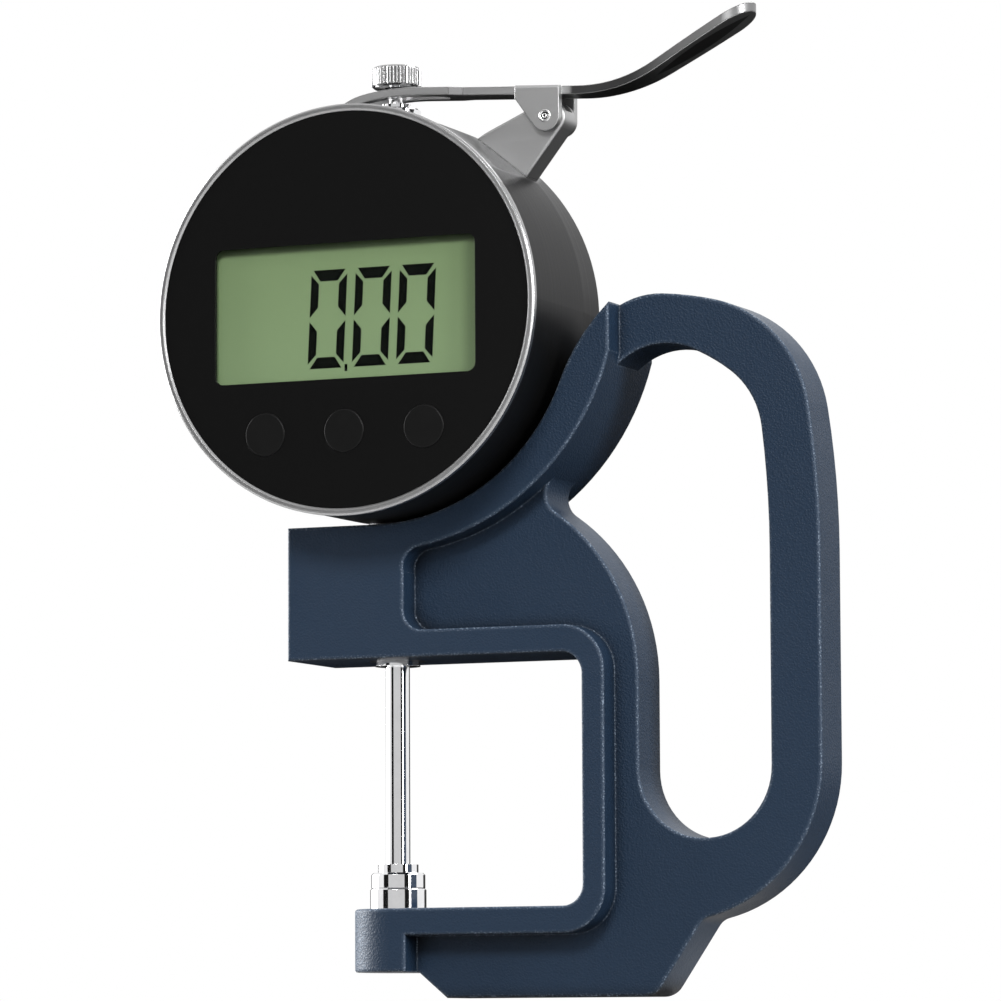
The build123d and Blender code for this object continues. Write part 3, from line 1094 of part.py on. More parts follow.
MAKERS = {
    "frame": make_frame,
    "anvil": make_anvil,
    "anvil_set_screw": make_anvil_set_screw,
    "stem": make_stem,
    "lower_bush": make_lower_bush,
    "stem_clamp_screw": make_stem_clamp_screw,
    "case_housing": make_case_housing,
    "top_collar": make_top_collar,
    "bezel_ring": make_bezel_ring,
    "front_panel": make_front_panel,
    "window_lens": make_window_lens,
    "display_cell": make_display_cell,
    "display_frame": make_display_frame,
    "contact_strips": make_contact_strips,
    "main_board": make_main_board,
    "board_screws": make_board_screws,
    "key_switches": make_key_switches,
    "reader_board": make_reader_board,
    "board_headers": make_board_headers,
    "back_cover": make_back_cover,
    "cover_screws": make_cover_screws,
    "battery_cap": make_battery_cap,
    "coin_cell": make_coin_cell,
    "battery_contacts": make_battery_contacts,
    "spring_post": make_spring_post,
    "return_spring": make_return_spring,
    "lever_bracket": make_lever_bracket,
    "bracket_screws": make_bracket_screws,
    "spindle": make_spindle,
    "lifting_knob": make_lifting_knob,
    "contact_point": make_contact_point,
    "scale_carrier": make_scale_carrier,
    "scale_strip": make_scale_strip,
    "carrier_screw": make_carrier_screw,
    "guide_pin": make_guide_pin,
    "spring_pin": make_spring_pin,
    "lift_lever": make_lift_lever,
    "pivot_pin": make_pivot_pin,
    "lever_spring": make_lever_spring,
}


def main():
    """Build every node and write it as a STEP file."""
    os.makedirs("parts", exist_ok=True)
    for name, make in MAKERS.items():
        export_step(make(), f"parts/{name}.step")
    for name, x in zip(("key_left", "key_centre", "key_right"), KEY_PLACES):
        export_step(make_key(x), f"parts/{name}.step")


if __name__ == "__main__":
    main()
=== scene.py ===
"""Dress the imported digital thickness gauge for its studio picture.

Every size is in metres in the part's own frame: +Z up along the spindle, +X towards the
handle, and the dial faces -Y.
"""
from __future__ import annotations

import json
import logging
import math
from dataclasses import dataclass, field
from enum import Enum

import bmesh
import bpy
from mathutils import Matrix, Vector

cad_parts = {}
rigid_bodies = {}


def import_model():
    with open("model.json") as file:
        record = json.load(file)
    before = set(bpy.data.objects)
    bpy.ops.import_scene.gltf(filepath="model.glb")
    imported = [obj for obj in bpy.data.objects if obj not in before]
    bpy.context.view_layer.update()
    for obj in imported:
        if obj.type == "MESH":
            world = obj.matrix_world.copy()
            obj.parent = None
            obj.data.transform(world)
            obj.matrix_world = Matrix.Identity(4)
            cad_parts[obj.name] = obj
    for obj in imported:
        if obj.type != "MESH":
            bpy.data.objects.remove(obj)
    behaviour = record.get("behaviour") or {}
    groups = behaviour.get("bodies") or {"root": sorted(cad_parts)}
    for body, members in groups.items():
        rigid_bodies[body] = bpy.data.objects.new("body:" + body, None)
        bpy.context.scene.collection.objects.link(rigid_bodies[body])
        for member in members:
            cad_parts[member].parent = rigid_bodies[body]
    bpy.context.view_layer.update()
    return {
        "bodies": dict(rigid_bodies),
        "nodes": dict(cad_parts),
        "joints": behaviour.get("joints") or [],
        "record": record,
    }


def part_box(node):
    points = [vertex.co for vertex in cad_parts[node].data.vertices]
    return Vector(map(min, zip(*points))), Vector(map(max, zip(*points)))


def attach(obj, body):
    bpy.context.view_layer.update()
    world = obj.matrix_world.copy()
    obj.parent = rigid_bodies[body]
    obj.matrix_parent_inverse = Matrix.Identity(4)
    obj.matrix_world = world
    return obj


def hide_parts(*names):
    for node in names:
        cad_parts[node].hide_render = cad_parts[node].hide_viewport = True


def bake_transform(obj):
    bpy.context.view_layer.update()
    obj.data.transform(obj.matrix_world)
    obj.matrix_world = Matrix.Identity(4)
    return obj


LOG = logging.getLogger("gauge")
MM = 0.001
DIAL = Vector((-24.5 * MM, 0.0, 94.2 * MM))
PIVOT = Vector((-0.4 * MM, 0.0, 121.5 * MM))
UPRIGHT = Vector((0.0, 0.0, 1.0))
WHITE = (1.0, 1.0, 1.0)
Colour = tuple[float, float, float]
Pair = tuple[float, float]
Span = tuple[float, float, float, float]
Socket = bpy.types.NodeSocket


class Slot(Enum):
    """The record's material slots."""

    CASTING = "casting_paint"
    CASE = "case_grey"
    RING = "ring_silver"
    PANEL = "panel_black"
    LENS = "lens_clear"
    LCD = "lcd_green"
    PLASTIC = "black_plastic"
    KEY = "key_black"
    STRIP = "strip_rubber"
    BOARD = "board_green"
    POLISHED = "polished_steel"
    PRESSED = "pressed_steel"
    SCREW = "screw_steel"
    BLACK_STEEL = "black_steel"
    BRASS = "contact_brass"
    CELL = "cell_steel"
    SCALE = "scale_glass"


def from_srgb(red: int, green: int, blue: int) -> Colour:
    """Turn a colour as it is seen on a screen into the shader's linear values.

    Args:
        red: Red from 0 to 255.
        green: Green from 0 to 255.
        blue: Blue from 0 to 255.

    Returns:
        The same colour with linear channels from 0 to 1.
    """
    channels = [channel / 255 for channel in (red, green, blue)]
    low = [c / 12.92 if c <= 0.04045 else ((c + 0.055) / 1.055) ** 2.4 for c in channels]
    return (low[0], low[1], low[2])


def dimmed(colour: Colour, share: float) -> Colour:
    """Darken a colour to a share of itself."""
    return (colour[0] * share, colour[1] * share, colour[2] * share)


def turns(count: int) -> list[float]:
    """List evenly spaced angles round a full circle."""
    return [math.tau * index / count for index in range(count)]


class Graph:
    """A node tree that is wired by short calls."""

    def __init__(self, tree: bpy.types.NodeTree) -> None:
        """Keep the tree that the nodes go into."""
        self.tree = tree

    def put(self, target: Socket, value: object) -> None:
        """Link a socket to a node's input, or set the input to a plain value.

        Args:
            target: The input.
            value: A socket, a number or a colour.
        """
        if isinstance(value, Socket):
            self.tree.links.new(value, target)
        elif target.type == "RGBA" and len(value) == 3:
            target.default_value = (*value, 1.0)
        else:
            target.default_value = value

    def add(self, kind: str, values: dict | None = None, **settings: object) -> bpy.types.Node:
        """Add a node.

        Args:
            kind: The node's type, without the words ShaderNode.
            values: Plain values or sockets for its inputs, by name or by number.
            settings: The node's own settings.

        Returns:
            The new node.
        """
        node = self.tree.nodes.new("ShaderNode" + kind)
        for name, setting in settings.items():
            setattr(node, name, setting)
        for name, value in (values or {}).items():
            self.put(node.inputs[name], value)
        return node

    def place(self) -> Socket:
        """Give the place on the surface, in metres in the part's frame."""
        return self.add("TexCoord").outputs["Object"]

    def normal(self) -> Socket:
        """Give the way that the surface faces."""
        return self.add("NewGeometry").outputs["Normal"]

    def split(self, vector: Socket) -> bpy.types.bpy_prop_collection:
        """Split a vector into its X, Y and Z."""
        return self.add("SeparateXYZ", {0: vector}).outputs

    def math(self, operation: str, first: object, second: object = 0.0) -> Socket:
        """Combine two numbers or sockets by one of the Math node's operations."""
        return self.add("Math", {0: first, 1: second}, operation=operation).outputs[0]

    def vector(self, operation: str, first: object, second: object = (0.0, 0.0, 0.0)) -> Socket:
        """Combine two vectors or sockets, into a number where it is a length or a dot product."""
        node = self.add("VectorMath", {0: first, 1: second}, operation=operation)
        return node.outputs["Value" if operation in ("LENGTH", "DOT_PRODUCT") else "Vector"]

    def noise(self, place: Socket, scale: object, **shape: float) -> bpy.types.bpy_prop_collection:
        """Give the outputs of noise at a place, at a scale and with other settings for its shape."""
        return self.add("TexNoise", {"Vector": place, "Scale": scale, **shape}).outputs

    def span(self, value: object, low: float, high: float, start: float = 0.0, end: float = 1.0) -> Socket:
        """Map a value smoothly, so that low gives start and high gives end."""
        values = {"Value": value, "From Min": low, "From Max": high, "To Min": start, "To Max": end}
        return self.add("MapRange", values, interpolation_type="SMOOTHSTEP").outputs[0]

    def within(self, value: Socket, ends: Pair, soft: float) -> Socket:
        """Mask the stretch between two ends.

        Args:
            value: The coordinate.
            ends: Where the stretch starts and ends.
            soft: Half the width over which the mask fades at an end.

        Returns:
            The mask, 1 between the ends.
        """
        rise = self.span(value, ends[0] - soft, ends[0] + soft)
        fall = self.span(value, ends[1] - soft, ends[1] + soft, 1.0, 0.0)
        return self.math("MULTIPLY", rise, fall)

    def blend(self, share: object, first: object, second: object) -> Socket:
        """Mix two colours or sockets, by how much of the second one shows."""
        node = self.add("Mix", {0: share, 6: first, 7: second}, data_type="RGBA")
        return node.outputs[2]


def cleared(block: bpy.types.Material | bpy.types.World) -> Graph:
    """Start the nodes of a material or a world afresh.

    Args:
        block: The material or the world.

    Returns:
        Its empty graph.
    """
    block.use_nodes = True
    block.node_tree.nodes.clear()
    return Graph(block.node_tree)


class Effects:
    """The shader groups that several finishes share."""

    warp = 0.00018
    dome = (0.1, 0.75, 1.0, 0.0)
    broad_scale = 420.0
    broad_detail = 3.0
    broad_share = 0.5
    edge = (0.82, 0.93, 1.0, 0.0)
    crease_rise = (0.88, 0.95)
    crease_fall = (0.992, 0.9996, 1.0, 0.0)
    cast_rise = (0.12, 0.45)
    cast_fall = (0.80, 0.985, 1.0, 0.0)
    open_range = (0.2, 0.85)
    cloud_range = (0.38, 0.68)
    cloud_shape = {"Detail": 5.0, "Roughness": 0.62, "Distortion": 0.6}

    def __init__(self) -> None:
        """Build each group once."""
        self.pebble = self._pebble()
        self.rounding = self._rounding()
        self.cast_edge = self._cast_edge()
        self.drawn = self._drawn()
        self.turned = self._turned()
        self.handled = self._handled()
        self.painted_occlusion = self._sheltered()

    @staticmethod
    def _group(name: str, **inputs: float) -> tuple[Graph, dict[str, Socket]]:
        """Start a group with its inputs.

        Args:
            name: The group's name.
            inputs: The input values by name.

        Returns:
            The group's graph and its input sockets by name.
        """
        tree = bpy.data.node_groups.new(name, "ShaderNodeTree")
        for label, value in inputs.items():
            socket = tree.interface.new_socket(label, in_out="INPUT", socket_type="NodeSocketFloat")
            socket.default_value = value
        entry = tree.nodes.new("NodeGroupInput")
        return Graph(tree), {label: entry.outputs[label] for label in inputs}

    @staticmethod
    def _end(graph: Graph, **results: Socket) -> bpy.types.NodeTree:
        """Give a group its outputs.

        Args:
            graph: The group's graph.
            results: The sockets to put out, by the output's name.

        Returns:
            The finished group.
        """
        for label, socket in results.items():
            kind = "NodeSocketVector" if socket.type == "VECTOR" else "NodeSocketFloat"
            graph.tree.interface.new_socket(label, in_out="OUTPUT", socket_type=kind)
        leave = graph.tree.nodes.new("NodeGroupOutput")
        for label, socket in results.items():
            graph.tree.links.new(socket, leave.inputs[label])
        return graph.tree

    @staticmethod
    def _lines(graph: Graph, x: Socket, y: Socket, z: object = 0.0) -> Socket:
        """Make noise that is drawn out into lines, because its coordinates are stretched."""
        stretched = graph.add("CombineXYZ", {0: x, 1: y, 2: z}).outputs[0]
        return graph.noise(stretched, 1.0)["Fac"]

    def _pebble(self) -> bpy.types.NodeTree:
        """Fine rounded bumps, as a leather-like powder coat has.

        Returns:
            The group.
        """
        graph, inputs = self._group("pebble_grain", Scale=3000.0, Softness=0.6)
        place = graph.place()
        drift = graph.noise(place, inputs["Scale"])["Color"]
        shift = graph.add("VectorMath", {0: drift, "Scale": self.warp}, operation="SCALE").outputs[0]
        shape = {"Vector": graph.vector("ADD", place, shift), "Scale": inputs["Scale"],
                 "Smoothness": inputs["Softness"]}
        cells = graph.add("TexVoronoi", shape, feature="SMOOTH_F1").outputs["Distance"]
        broad = graph.noise(place, self.broad_scale, Detail=self.broad_detail)["Fac"]
        height = graph.math("ADD", graph.span(cells, *self.dome),
                            graph.math("MULTIPLY", broad, self.broad_share))
        return self._end(graph, Height=height, Tone=broad)

    def _rounding(self) -> bpy.types.NodeTree:
        """A softened normal at the edges, a mask of where they are and one of the line beside them.

        Returns:
            The group.
        """
        graph, inputs = self._group("edge_rounding", Radius=0.0001)
        soft = graph.add("Bevel", {"Radius": inputs["Radius"]}, samples=6).outputs["Normal"]
        match = graph.vector("DOT_PRODUCT", soft, graph.normal())
        crease = graph.math("MULTIPLY", graph.span(match, *self.crease_rise),
                            graph.span(match, *self.crease_fall))
        return self._end(graph, Normal=soft, Edge=graph.span(match, *self.edge), Crease=crease)

    def _cast_edge(self) -> bpy.types.NodeTree:
        """Where the casting's front and back faces round into its sides.

        Returns:
            The group.
        """
        graph, _ = self._group("cast_edge")
        facing = graph.math("ABSOLUTE", graph.split(graph.normal())[1])
        edge = graph.math("MULTIPLY", graph.span(facing, *self.cast_rise),
                          graph.span(facing, *self.cast_fall))
        return self._end(graph, Edge=edge)

    def _drawn(self) -> bpy.types.NodeTree:
        """Fine lines along X, as brushing and drawing leave.

        Returns:
            The group.
        """
        graph, inputs = self._group("drawn_lines", Along=60.0, Across=9000.0)
        stretches = (inputs["Along"], inputs["Across"], inputs["Across"])
        parts = zip(graph.split(graph.place()), stretches)
        stretched = [graph.math("MULTIPLY", part, stretch) for part, stretch in parts]
        return self._end(graph, Lines=self._lines(graph, *stretched))

    def _turned(self) -> bpy.types.NodeTree:
        """Fine rings about the dial's axis, as a lathe leaves.

        Returns:
            The group.
        """
        graph, inputs = self._group("turned_rings", Scale=9000.0)
        x, y, z = graph.split(graph.vector("SUBTRACT", graph.place(), tuple(DIAL)))
        squares = graph.math("ADD", graph.math("MULTIPLY", x, x), graph.math("MULTIPLY", z, z))
        radius = graph.math("MULTIPLY", graph.math("SQRT", squares), inputs["Scale"])
        return self._end(graph, Rings=self._lines(graph, radius, graph.math("MULTIPLY", y, inputs["Scale"])))

    def _sheltered(self) -> bpy.types.NodeTree:
        """How open a place is to the light, from 0 in a corner to 1 in the open.

        Returns:
            The group.
        """
        graph, inputs = self._group("painted_occlusion", Reach=0.006)
        seen = graph.add("AmbientOcclusion", {"Distance": inputs["Reach"]}, samples=8).outputs["AO"]
        return self._end(graph, Open=graph.span(seen, *self.open_range))

    def _handled(self) -> bpy.types.NodeTree:
        """Broad faint clouds, as handling leaves on a clean surface.

        Returns:
            The group.
        """
        graph, inputs = self._group("handling_clouds", Scale=140.0)
        clouds = graph.noise(graph.place(), inputs["Scale"], **self.cloud_shape)["Fac"]
        return self._end(graph, Clouds=graph.span(clouds, *self.cloud_range))


class Shading(Graph):
    """A material in the making: its tree, its Principled shader and the shared effects."""

    def __init__(self, tree: bpy.types.NodeTree, effects: Effects) -> None:
        """Put the shader into the tree.

        Args:
            tree: The material's empty tree.
            effects: The shared groups.
        """
        super().__init__(tree)
        self.effects = effects
        self.shader = self.add("BsdfPrincipled")
        self.add("OutputMaterial", {"Surface": self.shader.outputs[0]})

    def feed(self, name: str, value: object) -> None:
        """Link a socket to one of the shader's inputs, or set a plain value on it."""
        self.put(self.shader.inputs[name], value)

    def use(self, group: bpy.types.NodeTree, **values: float) -> dict[str, Socket]:
        """Place a shared effect.

        Args:
            group: The effect's group.
            values: The group's input values, by name.

        Returns:
            The group's outputs by name.
        """
        node = self.tree.nodes.new("ShaderNodeGroup")
        node.node_tree = group
        for name, value in values.items():
            node.inputs[name].default_value = value
        return {socket.name: socket for socket in node.outputs}

    def emboss(self, strength: float, distance: float, height: Socket, normal: Socket) -> None:
        """Raise bumps by a strength and a distance over a normal, and give them to the shader."""
        values = {"Strength": strength, "Distance": distance, "Height": height, "Normal": normal}
        self.feed("Normal", self.add("Bump", values).outputs[0])


@dataclass(frozen=True)
class Finish:
    """A finish that a node or a piece takes, with faint handling clouds in tone and gloss."""

    name: str
    colour: Colour
    roughness: float
    cloud_scale: float = 180.0
    cloud_tone: float = 0.88
    cloud_gloss: float = 1.15

    def material(self, effects: Effects) -> bpy.types.Material:
        """Make the material with its Principled shader, and let the finish wire it.

        Args:
            effects: The shared groups.

        Returns:
            The material.
        """
        material = bpy.data.materials.new(self.name)
        work = Shading(cleared(material).tree, effects)
        work.feed("Base Color", self.colour)
        work.feed("Roughness", self.roughness)
        self.wire(work)
        return material

    def wire(self, work: Shading) -> None:
        """Wire the clouds into the tone and the gloss.

        Args:
            work: The material in the making.
        """
        clouds = work.use(work.effects.handled, Scale=self.cloud_scale)["Clouds"]
        work.feed("Base Color", work.blend(clouds, self.colour, dimmed(self.colour, self.cloud_tone)))
        gloss = work.span(clouds, 0.0, 1.0, self.roughness, self.roughness * self.cloud_gloss)
        work.feed("Roughness", gloss)


@dataclass(frozen=True)
class PowderCoat(Finish):
    """The frame's satin coat with its leather-like grain, paler edges that are part wear and part painted
    glints, and painted shade in its corners and on faces that point down.
    """

    # Paler colour for edges: partly wear, partly painted glints where light would catch the rounded edges.
    wear_and_glint: Colour = from_srgb(150, 166, 186)
    grain: float = 3300.0
    grain_tone: Span = (0.3, 1.4, 0.0, 0.22)
    relief: float = 0.000045
    strength: float = 0.6
    specular: float = 0.22
    cloud_scale: float = 60.0
    cloud_share: float = 0.1
    hollow: float = 0.72
    corner: float = 0.0003
    shelter: float = 0.0036
    # Painted shade: the share of the coat's colour that corners and faces pointing down take.
    painted_occlusion: float = 0.06
    underside_shade: Span = (-0.95, -0.6, 0.35, 1.0)
    wear_and_glint_span: Span = (0.75, 1.25, 0.12, 0.7)
    dulled: float = 0.06

    def wire(self, work: Shading) -> None:
        """Wire the grain into the tone, the gloss and the normal, with painted shade and paler edges that
        are part wear and part painted glints.

        Args:
            work: The material in the making.
        """
        height = work.use(work.effects.pebble, Scale=self.grain)["Height"]
        edge = work.use(work.effects.cast_edge)["Edge"]
        clouds = work.use(work.effects.handled, Scale=self.cloud_scale)["Clouds"]
        corner = work.use(work.effects.rounding, Radius=self.corner)
        # Occlusion mask that only feeds the painted shade below.
        opened = work.use(work.effects.painted_occlusion, Reach=self.shelter)["Open"]
        tone = work.math("ADD", work.span(height, *self.grain_tone),
                         work.math("MULTIPLY", clouds, self.cloud_share))
        base = work.blend(tone, self.colour, dimmed(self.colour, self.hollow))
        # Painted shade: corners that occlusion finds, and faces that point down, take a darker copy of the
        # coat.
        reach = work.math("MULTIPLY", opened, work.span(work.split(work.normal())[2], *self.underside_shade))
        shaded = work.blend(reach, dimmed(self.colour, self.painted_occlusion), base)
        # Paler edges, partly wear and partly painted glints: cast edges and rounded corners take the paler
        # colour where the grain stands high.
        wear_and_glint = work.math("MAXIMUM", edge, work.math("MAXIMUM", corner["Crease"], corner["Edge"]))
        wear_and_glint_share = work.math("MULTIPLY", wear_and_glint, work.span(height, *self.wear_and_glint_span))
        work.feed("Base Color", work.blend(wear_and_glint_share, shaded, self.wear_and_glint))
        work.feed("Roughness", work.span(clouds, 0.0, 1.0, self.roughness, self.roughness + self.dulled))
        work.feed("Specular IOR Level", self.specular)
        work.emboss(self.strength, self.relief, height, corner["Normal"])


@dataclass(frozen=True)
class PlainMetal(Finish):
    """A smooth metal with rounded edges and faint handling marks."""

    cloud_scale: float = 260.0
    cloud_tone: float = 0.94
    cloud_gloss: float = 1.6
    rounding: float = 0.00006
    line_range: Pair = (0.3, 0.7)

    def wire(self, work: Shading) -> None:
        """Wire the softened edges and the faint clouds.

        Args:
            work: The material in the making.
        """
        super().wire(work)
        work.feed("Metallic", 1.0)
        work.feed("Normal", work.use(work.effects.rounding, Radius=self.rounding)["Normal"])


@dataclass(frozen=True)
class DrawnMetal(PlainMetal):
    """Pressed sheet with faint lines along its length, a painted highlight on its edges beside a painted
    shade line, and painted black reflections on its neck, on faces that point down, on a front facet and in
    its dish.
    """

    along: float = 110.0
    across: float = 9000.0
    gloss: Pair = (0.96, 1.06)
    relief: float = 0.0000005
    strength: float = 0.1
    # Painted highlight on the edges and its metallic share, then the black used for a painted shade line and
    # painted reflections.
    painted_edge_highlight: Colour = (0.9, 0.9, 0.9)
    painted_highlight_metal: float = 0.6
    painted_dark: Colour = (0.02, 0.02, 0.02)
    painted_crease_shade: float = 0.92
    # Painted reflection: the neck beyond the pivot, faces that point down and one front facet take this
    # darker tone.
    painted_dim: Colour = (0.07, 0.07, 0.071)
    painted_dim_start: Pair = (2.6 * MM, 3.4 * MM)
    painted_dim_finish: Span = (11.0 * MM, 21.0 * MM, 1.0, 0.5)
    underside_shade: Span = (-0.7, -0.3, 0.66, 0.0)
    # The front facet that takes the painted darker tone.
    step: Pair = (-15.3 * MM, -13.3 * MM)
    step_soft: float = 0.04 * MM
    step_front: Span = (-0.6, -0.4, 0.75, 0.0)
    # Where the painted black reflection of the pad's dish lies: its middle, half length and half width.
    dish: tuple[float, float, float] = (21.9 * MM, 7.0 * MM, 1.9 * MM)
    dish_rim: Pair = (-0.03, 0.06)
    dish_below: Span = (-0.6, -0.3, 0.95, 0.0)

    def dish_reflection(self, work: Shading, x: Socket, y: Socket, upward: Socket) -> Socket:
        """Mask where the pad's pointed oval dish, seen from below, takes a painted black reflection.

        Args:
            work: The material in the making.
            x: The place along the lever.
            y: The place across it.
            upward: How far the surface faces up.

        Returns:
            The mask, 1 inside the dish's outline.
        """
        middle, half_length, half_width = self.dish
        along = work.math("DIVIDE", work.math("SUBTRACT", x, middle), half_length)
        room = work.math("SUBTRACT", 1.0, work.math("MULTIPLY", along, along))
        wide = work.math("DIVIDE", work.math("ABSOLUTE", y), half_width)
        inside = work.span(work.math("SUBTRACT", room, wide), *self.dish_rim)
        return work.math("MULTIPLY", inside, work.span(upward, *self.dish_below))

    def wire(self, work: Shading) -> None:
        """Wire the lines, the painted black reflections, and the painted edge highlight with its painted
        shade line.

        Args:
            work: The material in the making.
        """
        edges = work.use(work.effects.rounding, Radius=self.rounding)
        lines = work.use(work.effects.drawn, Along=self.along, Across=self.across)["Lines"]
        least, most = (self.roughness * share for share in self.gloss)
        work.feed("Roughness", work.span(lines, *self.line_range, least, most))
        x, y, _ = work.split(work.place())
        _, forward, upward = work.split(work.normal())
        # Painted reflection: the neck beyond the pivot, the faces pointing down and one front facet blend
        # towards the darker tone.
        stretch = work.math("MULTIPLY", work.span(x, *self.painted_dim_start), work.span(x, *self.painted_dim_finish))
        share = work.math("MAXIMUM", stretch, work.span(upward, *self.underside_shade))
        step = work.math("MULTIPLY", work.within(x, self.step, self.step_soft),
                         work.span(forward, *self.step_front))
        sheet = work.blend(work.math("MAXIMUM", share, step), self.colour, self.painted_dim)
        # Painted reflection: the pad's dish, seen from below, goes black.
        sheet = work.blend(self.dish_reflection(work, x, y, upward), sheet, self.painted_dark)
        # Painted shade line beside the edges, then a painted highlight on the edges themselves.
        crease_shaded = work.blend(work.math("MULTIPLY", edges["Crease"], self.painted_crease_shade), sheet, self.painted_dark)
        work.feed("Base Color", work.blend(edges["Edge"], crease_shaded, self.painted_edge_highlight))
        work.feed("Metallic", work.span(edges["Edge"], 0.0, 1.0, 1.0, self.painted_highlight_metal))
        work.emboss(self.strength, self.relief, lines, edges["Normal"])


@dataclass(frozen=True)
class BandedMetal(PlainMetal):
    """Polished metal with painted shade in bands at set distances from an axis, over grooves and flutes, and
    on its faces that point towards -X.
    """

    centre: tuple[float, float, float] = (0.0, 0.0, 0.0)
    across: tuple[float, float, float] = (1.0, 1.0, 0.0)
    bands: tuple[Pair, ...] = ()
    soft: float = 0.03 * MM
    # The darker tone of the painted shade, and its share on faces towards -X.
    painted_dim: Colour = (0.03, 0.03, 0.03)
    flank_shade: float = 0.0
    flank_facing: Pair = (-0.8, -0.45)

    def wire(self, work: Shading) -> None:
        """Wire the painted shade of the bands and of the faces towards -X over the plain metal.

        Args:
            work: The material in the making.
        """
        super().wire(work)
        offset = work.vector("SUBTRACT", work.place(), self.centre)
        radius = work.vector("LENGTH", work.vector("MULTIPLY", offset, self.across))
        # Painted shade: bands over the grooves and flutes, and faces towards -X, take the darker tone.
        painted_dark = 0.0
        for band in self.bands:
            painted_dark = work.math("MAXIMUM", painted_dark, work.within(radius, band, self.soft))
        flank_shade = work.span(work.split(work.normal())[0], *self.flank_facing, self.flank_shade, 0.0)
        work.feed("Base Color", work.blend(flank_shade, work.blend(painted_dark, self.colour, self.painted_dim), self.painted_dim))


@dataclass(frozen=True)
class TurnedMetal(PlainMetal):
    """Lathe-turned metal with fine rings about the dial's axis."""

    relief: float = 0.0000012
    strength: float = 0.25
    gloss: Pair = (0.8, 1.25)

    def wire(self, work: Shading) -> None:
        """Wire the rings over the plain metal.

        Args:
            work: The material in the making.
        """
        super().wire(work)
        edges = work.use(work.effects.rounding, Radius=self.rounding)
        rings = work.use(work.effects.turned)["Rings"]
        least, most = (self.roughness * share for share in self.gloss)
        work.feed("Roughness", work.span(rings, *self.line_range, least, most))
        work.emboss(self.strength, self.relief, rings, edges["Normal"])


@dataclass(frozen=True)
class MilledCase(TurnedMetal):
    """The case's turned metal with a painted highlight on the flat that the bracket stands on."""

    # Painted highlight: the paler tone of the flat, standing in for its reflection.
    flat_highlight: Colour = (0.15, 0.15, 0.152)
    grazing: Colour = (0.66, 0.66, 0.66)
    angle: float = 51.5
    flat: Pair = (27.78 * MM, 27.88 * MM)

    def wire(self, work: Shading) -> None:
        """Wire the flat's painted highlight over the turned metal.

        Args:
            work: The material in the making.
        """
        super().wire(work)
        turn = math.radians(self.angle)
        offset = work.vector("SUBTRACT", work.place(), tuple(DIAL))
        depth = work.vector("DOT_PRODUCT", offset, (math.cos(turn), 0.0, math.sin(turn)))
        # Painted highlight: the flat takes the paler tone.
        work.feed("Base Color", work.blend(work.span(depth, *self.flat), self.colour, self.flat_highlight))
        work.feed("Specular Tint", self.grazing)


@dataclass(frozen=True)
class Moulded(Finish):
    """Moulded plastic with a fine even texture."""

    rounding: float = 0.0001
    texture: float = 5000.0
    relief: float = 0.000006
    strength: float = 0.4
    specular: float = 0.5

    def wire(self, work: Shading) -> None:
        """Wire the texture and the softened edges.

        Args:
            work: The material in the making.
        """
        super().wire(work)
        edges = work.use(work.effects.rounding, Radius=self.rounding)
        grain = work.use(work.effects.pebble, Scale=self.texture)["Height"]
        work.emboss(self.strength, self.relief, grain, edges["Normal"])
        work.feed("Specular IOR Level", self.specular)


@dataclass(frozen=True)
class PanelGloss(Finish):
    """The front panel's black gloss."""

    rounding: float = 0.00008
    specular: float = 0.1

    def wire(self, work: Shading) -> None:
        """Wire faint clouds into the gloss, and keep the reflection low.

        Args:
            work: The material in the making.
        """
        super().wire(work)
        work.feed("Normal", work.use(work.effects.rounding, Radius=self.rounding)["Normal"])
        work.feed("Specular IOR Level", self.specular)


@dataclass(frozen=True)
class ClearPane(Finish):
    """Clear glass or plastic that lets the light through to what lies behind."""

    ior: float = 1.12
    specular: float = 0.12

    def wire(self, work: Shading) -> None:
        """Make the pane clear, and keep it from darkening what is behind it.

        Args:
            work: The material in the making.
        """
        work.feed("Transmission Weight", 1.0)
        work.feed("IOR", self.ior)
        work.feed("Specular IOR Level", self.specular)
        path = work.add("LightPath").outputs
        unseen = work.math("MAXIMUM", path["Is Shadow Ray"], path["Is Diffuse Ray"])
        work.feed("Alpha", work.math("SUBTRACT", 1.0, unseen))


@dataclass(frozen=True)
class CrystalGreen(Finish):
    """The display's grey-green ground, which grows darker towards the top and carries a painted shadow of
    the window at its right and top.
    """

    deep: Colour = from_srgb(120, 143, 100)
    # Painted shadow of the window's edges on the recessed cell.
    window_shadow: Colour = from_srgb(48, 62, 36)
    right: float = DIAL.x + 18.9 * MM
    top: float = DIAL.z + 9.45 * MM
    drift: Span = (DIAL.z - 9.5 * MM, DIAL.z + 9.5 * MM, 0.1, 0.75)
    speckle: float = 9000.0
    speckle_share: float = 0.2
    side_window_shadow: Pair = (2.4 * MM, 0.55)
    top_window_shadow: Pair = (1.5 * MM, 0.75)
    specular: float = 0.2

    def wire(self, work: Shading) -> None:
        """Wire the tone that darkens towards the top, the fine speckle of the reflector and the painted
        shadow of the window at the right and top.

        Args:
            work: The material in the making.
        """
        place = work.place()
        x, _, height = work.split(place)
        speckle = work.noise(place, self.speckle)["Fac"]
        change = work.math("MULTIPLY", work.math("SUBTRACT", speckle, 0.5), self.speckle_share)
        share = work.math("ADD", work.span(height, *self.drift), change)
        ground = work.blend(share, self.colour, self.deep)
        # Painted shadow: the cell goes darker near the window's right and top edges.
        side = work.span(x, self.right - self.side_window_shadow[0], self.right, 0.0, self.side_window_shadow[1])
        upper = work.span(height, self.top - self.top_window_shadow[0], self.top, 0.0, self.top_window_shadow[1])
        work.feed("Base Color", work.blend(work.math("MAXIMUM", side, upper), ground, self.window_shadow))
        work.feed("Specular IOR Level", self.specular)


